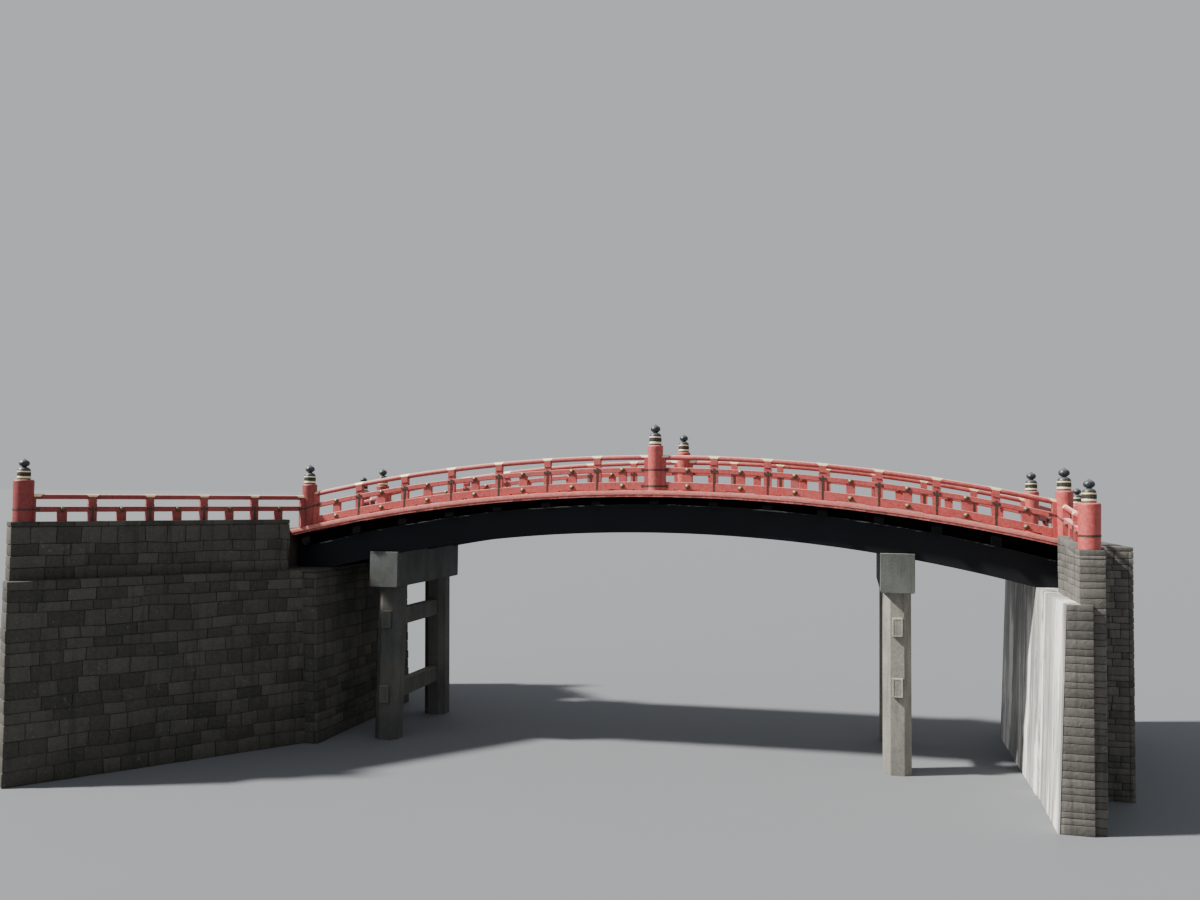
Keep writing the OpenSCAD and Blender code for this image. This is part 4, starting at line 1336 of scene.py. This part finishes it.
def add_tie_margins(node, finish):
    """Smooth drafted margins round the hammered ends of the tie beams."""
    corners = [v.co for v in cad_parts[node].data.vertices]
    low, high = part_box(node)
    split = (low.z + high.z) / 2
    inset, proud, sunk, chamfer = 0.012, 0.010, 0.01, 0.006
    shape = Shape()
    for tie in ([c for c in corners if c.z < split], [c for c in corners if c.z >= split]):
        x0, x1 = min(c.x for c in tie), max(c.x for c in tie)
        z0, z1 = min(c.z for c in tie), max(c.z for c in tie)
        m, w, h = TIE_MARGIN, (x1 - x0) / 2 - inset, (z1 - z0) / 2 - inset
        bars = [(-w, w, -h, m - h), (-w, w, h - m, h),
                (-w, m - w, m - h, h - m), (w - m, w, m - h, h - m)]
        for face_y, way in ((min(c.y for c in tie), -1), (max(c.y for c in tie), 1)):
            place = Matrix.Translation(((x0 + x1) / 2, face_y, (z0 + z1) / 2)) @ facing(way)
            for a, b, c, d in bars:
                bar = Shape().plate([(a, c), (b, c), (b, d), (a, d)], -proud, sunk, chamfer)
                shape.join(bar.moved(place))
    fitting_piece(f"{node}_margins", shape, finish, "grey_stone")


def span_side(wing):
    """The side of an approach wall that looks at the span, in its own Y."""
    return SIDES[wing.stream] * (1 if wing.side == "right" else -1)


def add_wing_wall(wing, finish, seed):
    """Stones on both faces of an approach wall, and a coping whose last stone carries the post."""
    node = f"wing_wall_{wing.name}"
    wall = Masonry(f"{node}_stones", wing.frame, wing.side, seed)
    half = WALL_THICKNESS / 2
    end = wing.length + WALL_END
    ledge_x = wing.length - WALL_END
    ledge_z = wing.foot.z(ledge_x)
    span = span_side(wing)

    def top(x):
        return wing.foot.z(x) if x < ledge_x else ledge_z

    def under_coping(co):
        wall.waver(co, top(co.x) - COPING, end)
        co.z = min(co.z, top(co.x) - COPING)

    thinnest = 0.06
    height = max(top(WALL_START), ledge_z) - COPING
    for x0, x1, z0, z1 in wall.bond(end, height, WALL_START):
        room = top((x0 + x1) / 2) - COPING
        if room - z0 < thinnest:
            continue
        if x1 >= end - NEARLY:
            wall.add((x0, -half, z0), (x1, half, z1), (1, -1, 0))
            continue
        if span > 0 or z1 > FOOT_TOP:
            wall.add((x0, -half, z0), (x1, -half + STONE_DEPTH, z1), (0, -1, 0))
        if span < 0 or z1 > FOOT_TOP:
            wall.add((x0, half - STONE_DEPTH, z0), (x1, half, z1), (0, 1, 0))
    wall.finished(finish, "wall_stone", under_coping)
    coping = Masonry(f"{node}_coping", wing.frame, "right", seed + 50)
    for x0, x1 in shares(WALL_START, ledge_x, COPING_LENGTH) + [(ledge_x, end)]:
        coping.add((x0, -half, -COPING), (x1, half, 0))

    def on_wall(co):
        co.z += top(co.x)

    coping.finished(finish, "wall_stone", on_wall)


def add_wall_foot(wing, finish, seed, rendered=None):
    """The wide lower part on the wall's side to the span, faced with stones or a coat of render."""
    span = span_side(wing)
    end = wing.length + WALL_END + FOOT_END
    bite, clear = 0.02, 0.004
    inner = WALL_THICKNESS / 2 - bite
    face = FOOT_REACH - (RENDER_DEPTH if rendered else 0.0)
    foot = Masonry(f"wing_foot_{wing.name}_stones", wing.frame, wing.side, seed)

    def lean(co):
        foot.waver(co, FOOT_TOP, end)
        share = min(abs(co.y) / FOOT_REACH, 1.0)
        co.y += span * share * (FOOT_TOP - co.z) * math.tan(WALL_BATTER)

    for x0, x1, z0, z1 in foot.bond(end, FOOT_TOP, FOOT_START):
        last = x1 >= end - NEARLY
        if rendered and not last:
            continue
        depth = face if last else STONE_DEPTH
        if z1 > FOOT_TOP - NEARLY:
            depth = max(depth, face - inner)
        y0, y1 = sorted((span * face, span * (face - depth)))
        foot.add((x0, y0, z0), (x1, y1, z1), (1 if last else 0, 0 if rendered else span, 0))
    foot.finished(finish, "wall_stone", lean)
    if rendered:
        base = FOOT_REACH + FOOT_TOP * math.tan(WALL_BATTER)
        outline = [(inner, FOOT_TOP), (FOOT_REACH, FOOT_TOP), (base, 0), (base - RENDER_DEPTH, 0),
                   (face, FOOT_TOP - RENDER_DEPTH), (inner, FOOT_TOP - RENDER_DEPTH)]
        coat = Shape().skin([[wing.frame @ Vector((x, span * y, z)) for y, z in outline]
                             for x in (FOOT_START, end - clear)])
        fitting_piece(f"wing_foot_{wing.name}_render", coat, rendered, "wall_stone")


def add_abutment(side, finish, seed, rendered=None):
    """Stones on the faces of an abutment, with long and short ones taking turns at the corners."""
    node = f"abutment_{side}"
    low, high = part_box(node)
    corners = [v.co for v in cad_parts[node].data.vertices]
    shelf_drop, clearance = 0.5, 0.0003
    shelf = max(co.z for co in corners if co.z < high.z - shelf_drop)
    sign = 1 if side == "right" else -1
    back = high.x if sign > 0 else low.x
    front = sign * min(sign * co.x for co in corners if co.z > shelf - NEARLY)
    step_x = MIDDLE.x + sign * (DECK_X + clearance)
    wall = Masonry(f"{node}_stones", Matrix.Identity(4), side, seed)

    def lean(co):
        wall.waver(co, shelf if co.z < shelf + NEARLY else high.z)
        if co.z < shelf:
            share = (back - co.x) / (back - front)
            co.x -= sign * share * (shelf - co.z) * math.tan(WALL_BATTER)

    levels = wall.courses(shelf - (0.0 if rendered else SLAB))
    levels += [(shelf + z0, shelf + z1) for z0, z1 in wall.courses(high.z - shelf - SLAB)]
    slabs = [(step_x, back, high.z)]
    if not rendered:
        slabs += [(front, step_x, shelf), (step_x, back, shelf)]
    for start, stop, top in slabs:
        x0, x1 = sorted((start, stop))
        for y0, y1 in shares(low.y, high.y, SLAB_WIDTH):
            wall.add((x0, y0, top - SLAB), (x1, y1, top))
    for row, (z0, z1) in enumerate(levels):
        inset = STONE_DEPTH if row % 2 and not rendered else 0.0
        under_shelf = z1 < shelf + NEARLY
        for face_x, way in ((front, -sign), (back, sign)):
            if way == -sign and (rendered or not under_shelf):
                continue
            x0, x1 = sorted((face_x, face_x - way * STONE_DEPTH))
            for y0, y1 in wall.run(low.y + inset, high.y - inset):
                wall.add((x0, y0, z0), (x1, y1, z1), (way, 0, 0))
        start = front if under_shelf else step_x
        other = STONE_DEPTH - inset
        first = (RENDER_DEPTH if rendered else other) if under_shelf else 0.0
        for face_y, way in ((low.y, -1), (high.y, 1)):
            y0, y1 = sorted((face_y, face_y - way * STONE_DEPTH))
            for run0, run1 in wall.run(first, abs(back - start) - other):
                x0, x1 = sorted((start + sign * run0, start + sign * run1))
                wall.add((x0, y0, z0), (x1, y1, z1), (0, way, 0))
    wall.finished(finish, "wall_stone", lean)
    if rendered:
        base = front - sign * shelf * math.tan(WALL_BATTER)
        inwards = sign * RENDER_DEPTH
        outline = [(step_x, shelf), (front, shelf), (base, 0), (base + inwards, 0),
                   (front + inwards, shelf - RENDER_DEPTH), (step_x, shelf - RENDER_DEPTH)]
        coat = Shape().skin([[Vector((x, y, z)) for x, z in outline] for y in (low.y, high.y)])
        fitting_piece(f"{node}_render", coat, rendered, "wall_stone")


def add_return(finish, seed):
    """Stones that close the slit between the right abutment and the approach wall downstream of it."""
    low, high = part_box("abutment_right")
    wing_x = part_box("wing_wall_right_downstream")[1].x
    before, beyond, out, bite, width = 0.12, 0.62, 0.34, 0.02, 0.5
    x0, x1, y0, y1 = wing_x - before, wing_x + beyond, low.y - out, low.y + bite
    wall = Masonry("abutment_right_return_stones", Matrix.Identity(4), "right", seed)
    for start, stop, z0, z1 in wall.bond(width, high.z):
        if start == 0.0 and z1 > FOOT_TOP:
            wall.add((x0, y0, z0), (x1, y1, z1), (0, -1, 0))
    wall.finished(finish, "wall_stone")


def add_camera():
    """The camera that was fitted to the photo."""
    data = bpy.data.cameras.new("camera")
    data.sensor_width = SENSOR_MM
    data.lens = FOCAL_PIXELS / PHOTO_WIDTH * SENSOR_MM
    data.clip_end = FAR_CLIP
    camera = new_object("camera", data)
    forward = Vector((
        math.sin(EYE_YAW) * math.cos(EYE_PITCH),
        math.cos(EYE_YAW) * math.cos(EYE_PITCH),
        math.sin(EYE_PITCH)))
    across = Vector((math.cos(EYE_YAW), -math.sin(EYE_YAW), 0))
    upright = across.cross(forward)
    right = across * math.cos(EYE_ROLL) + upright * math.sin(EYE_ROLL)
    up = upright * math.cos(EYE_ROLL) - across * math.sin(EYE_ROLL)
    turn = Matrix((right, up, -forward)).transposed()
    camera.matrix_world = Matrix.Translation(at(*EYE)) @ turn.to_4x4()
    bpy.context.scene.camera = camera


def add_light():
    """A soft sun, high on the left and a little in front, and an even pale sky."""
    data = bpy.data.lights.new("key", "SUN")
    data.energy = SUN_ENERGY
    data.angle = SUN_SPREAD
    data.color = SUN_COLOR
    new_object("key", data).rotation_euler = Euler(SUN_TURN)
    world = bpy.data.worlds.new("studio")
    world.use_nodes = True
    sky = world.node_tree.nodes["Background"]
    sky.inputs["Color"].default_value = (*SKY_COLOR, 1)
    sky.inputs["Strength"].default_value = SKY_STRENGTH
    bpy.context.scene.world = world


def add_floor():
    """A plain floor at the level of the lowest foot, far enough to meet the sky unseen."""
    f = Finish("floor")
    grain = f.clouds((0.4, 0.4, 0.4), 2)
    material = f.surface(f.mixed(grain, *FLOOR_SHADES), 0.95, grain, 0.001)
    mesh = bpy.data.meshes.new("floor")
    corners = [(x * FLOOR_REACH, y * FLOOR_REACH, 0) for x, y in ((-1, -1), (1, -1), (1, 1), (-1, 1))]
    mesh.from_pydata(corners, [], [(0, 1, 2, 3)])
    mesh.materials.append(material)
    new_object("floor", mesh)


def finish_node(node, material):
    """Gives a CAD node whose shape is right a finish of its own."""
    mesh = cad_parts[node].data
    mesh.materials.clear()
    mesh.materials.append(material)


add_camera()
add_light()
add_floor()

LEVEL_GRAIN = (4, 40, 40)
UPRIGHT_GRAIN = (40, 40, 3)
PAINT = vermilion_paint("vermilion", LEVEL_GRAIN)
POST_PAINT = vermilion_paint("post_vermilion", UPRIGHT_GRAIN, bleach_and_highlight=0.35)
# The left posts take the darker vermilion, painted shade
LEFT_POST_SHADED_PAINT = vermilion_paint("left_post_vermilion", UPRIGHT_GRAIN, 0.0, *SHADED_LEFT_PAINT, 0.3)
TAR = tarred_paint("tarred")
SHADED_TAR = shaded_tar("tarred_ends")
EDGE = edge_paint("bleached_edge")
LAP = lap_paint("lap_strips")
# The left pier's stones, here and in the two tables below, are darker than the right pier's as painted
# shade, with more dark runs and ochre of their own
COLUMN_STONE = {
    "left": dressed_stone("left_column_stone", srgb(94, 94, 90), srgb(62, 64, 65), 0.5, 0.2),
    "right": dressed_stone("right_column_stone", srgb(149, 147, 138), srgb(114, 114, 108), 0.3)}
MARGIN_STONE = {
    "left": dressed_stone("left_margin_stone", srgb(112, 111, 104), srgb(82, 82, 80), 0.3, 0.1),
    "right": dressed_stone("right_margin_stone", srgb(178, 175, 165), srgb(154, 151, 143), 0.1)}
# The cap beams are darker than the columns, partly as painted shade
BEAM_STONE = {
    "left": dressed_stone("left_beam_stone", srgb(82, 88, 89), srgb(52, 58, 60), 0.35, 0.15),
    "right": dressed_stone("right_beam_stone", srgb(96, 101, 97), srgb(62, 67, 66), 0.3)}
# The left walls' stones are darker than the right ones, partly as painted shade, with more moss of
# their own
WALL = {
    "left": wall_stone("left_wall_stone", srgb(50, 50, 48), srgb(92, 90, 84), 0.5),
    "right": wall_stone("right_wall_stone", srgb(78, 77, 75), srgb(118, 115, 109), 0.2, 0.3)}
RENDER = streaked_render("streaked_render")
MORTAR = mortar("mortar")
BRONZE = dark_bronze("bronze")
BRASS = aged_brass("brass")
STRAP = strap_metal("strap_metal")
STUD = stud_metal("stud_metal")
SLEEVE = dark_sleeve("cap_sleeve")

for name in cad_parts:
    if "post" in name:
        finish_node(name, LEFT_POST_SHADED_PAINT if "left" in name else POST_PAINT)
    elif name.startswith(("bottom_rail", "mid_rail")):
        softened(name, PAINT, "vermilion_timber", ARRIS["rail"])
    elif name.startswith(("top_rail", "main_struts", "short_struts")):
        softened(name, PAINT, "vermilion_timber", ARRIS["strut"])
    elif name.startswith("girder"):
        softened(name, TAR, "tarred_timber", ARRIS["girder"])
    elif name == "cross_beams":
        # The cross beams take the darker tar, painted shade under the deck
        softened(name, SHADED_TAR, "tarred_timber", ARRIS["girder"])
for wing in WINGS:
    # The left wings take the darker vermilion, painted shade
    shades = SHADED_LEFT_PAINT if wing.side == "left" else OPEN_PAINT
    wing_paint = vermilion_paint(f"vermilion_{wing.name}", LEVEL_GRAIN, wing.turn, *shades)
    softened(f"wing_railing_{wing.name}", wing_paint, "vermilion_timber", ARRIS["strut"])

add_planks(deck_paint("deck_vermilion"))
add_edge_strips(EDGE, LAP)
add_caps(BRONZE, SLEEVE, BRASS)
add_post_straps(STRAP)

spots = strap_places(BRIDGE_RAILINGS + WINGS)
repeated("rail_saddles", saddle(), spots["saddle"] + post_saddle_places(), BRASS, "bronze")
repeated("strut_leaves", strap_leaf(), spots["leaf"], STRAP, "bronze")
repeated("rail_studs", stud(), spots["stud"], STUD, "bronze")
bridge_band = strap_band(MID_RAIL + WINDOW + BOTTOM_RAIL - BAND_CLEARANCE)
repeated("bridge_strut_bands", bridge_band, band_places(BRIDGE_RAILINGS), STRAP, "bronze")
wing_band = strap_band(MID_RAIL + WING_WINDOW - BAND_CLEARANCE)
repeated("wing_strut_bands", wing_band, band_places(WINGS), STRAP, "bronze")

for side in ("left", "right"):
    softened(f"{side}_pier_cap_beam", BEAM_STONE[side], "grey_stone", ARRIS["beam"])
    softened(f"{side}_pier_tie_beams", COLUMN_STONE[side], "grey_stone", ARRIS["column"])
    add_tie_margins(f"{side}_pier_tie_beams", MARGIN_STONE[side])
    for stream in SIDES:
        softened(f"{side}_pier_column_{stream}", COLUMN_STONE[side], "grey_stone", ARRIS["column"])

add_core(["abutment_left", "abutment_right"] + [f"wing_wall_{wing.name}" for wing in WINGS], MORTAR)
for number, wing in enumerate(WINGS):
    add_wing_wall(wing, WALL[wing.side], 10 + number)
    add_wall_foot(wing, WALL[wing.side], 20 + number, RENDER if wing.side == "right" else None)
add_abutment("left", WALL["left"], 30)
add_abutment("right", WALL["right"], 31, RENDER)
add_return(WALL["right"], 41)
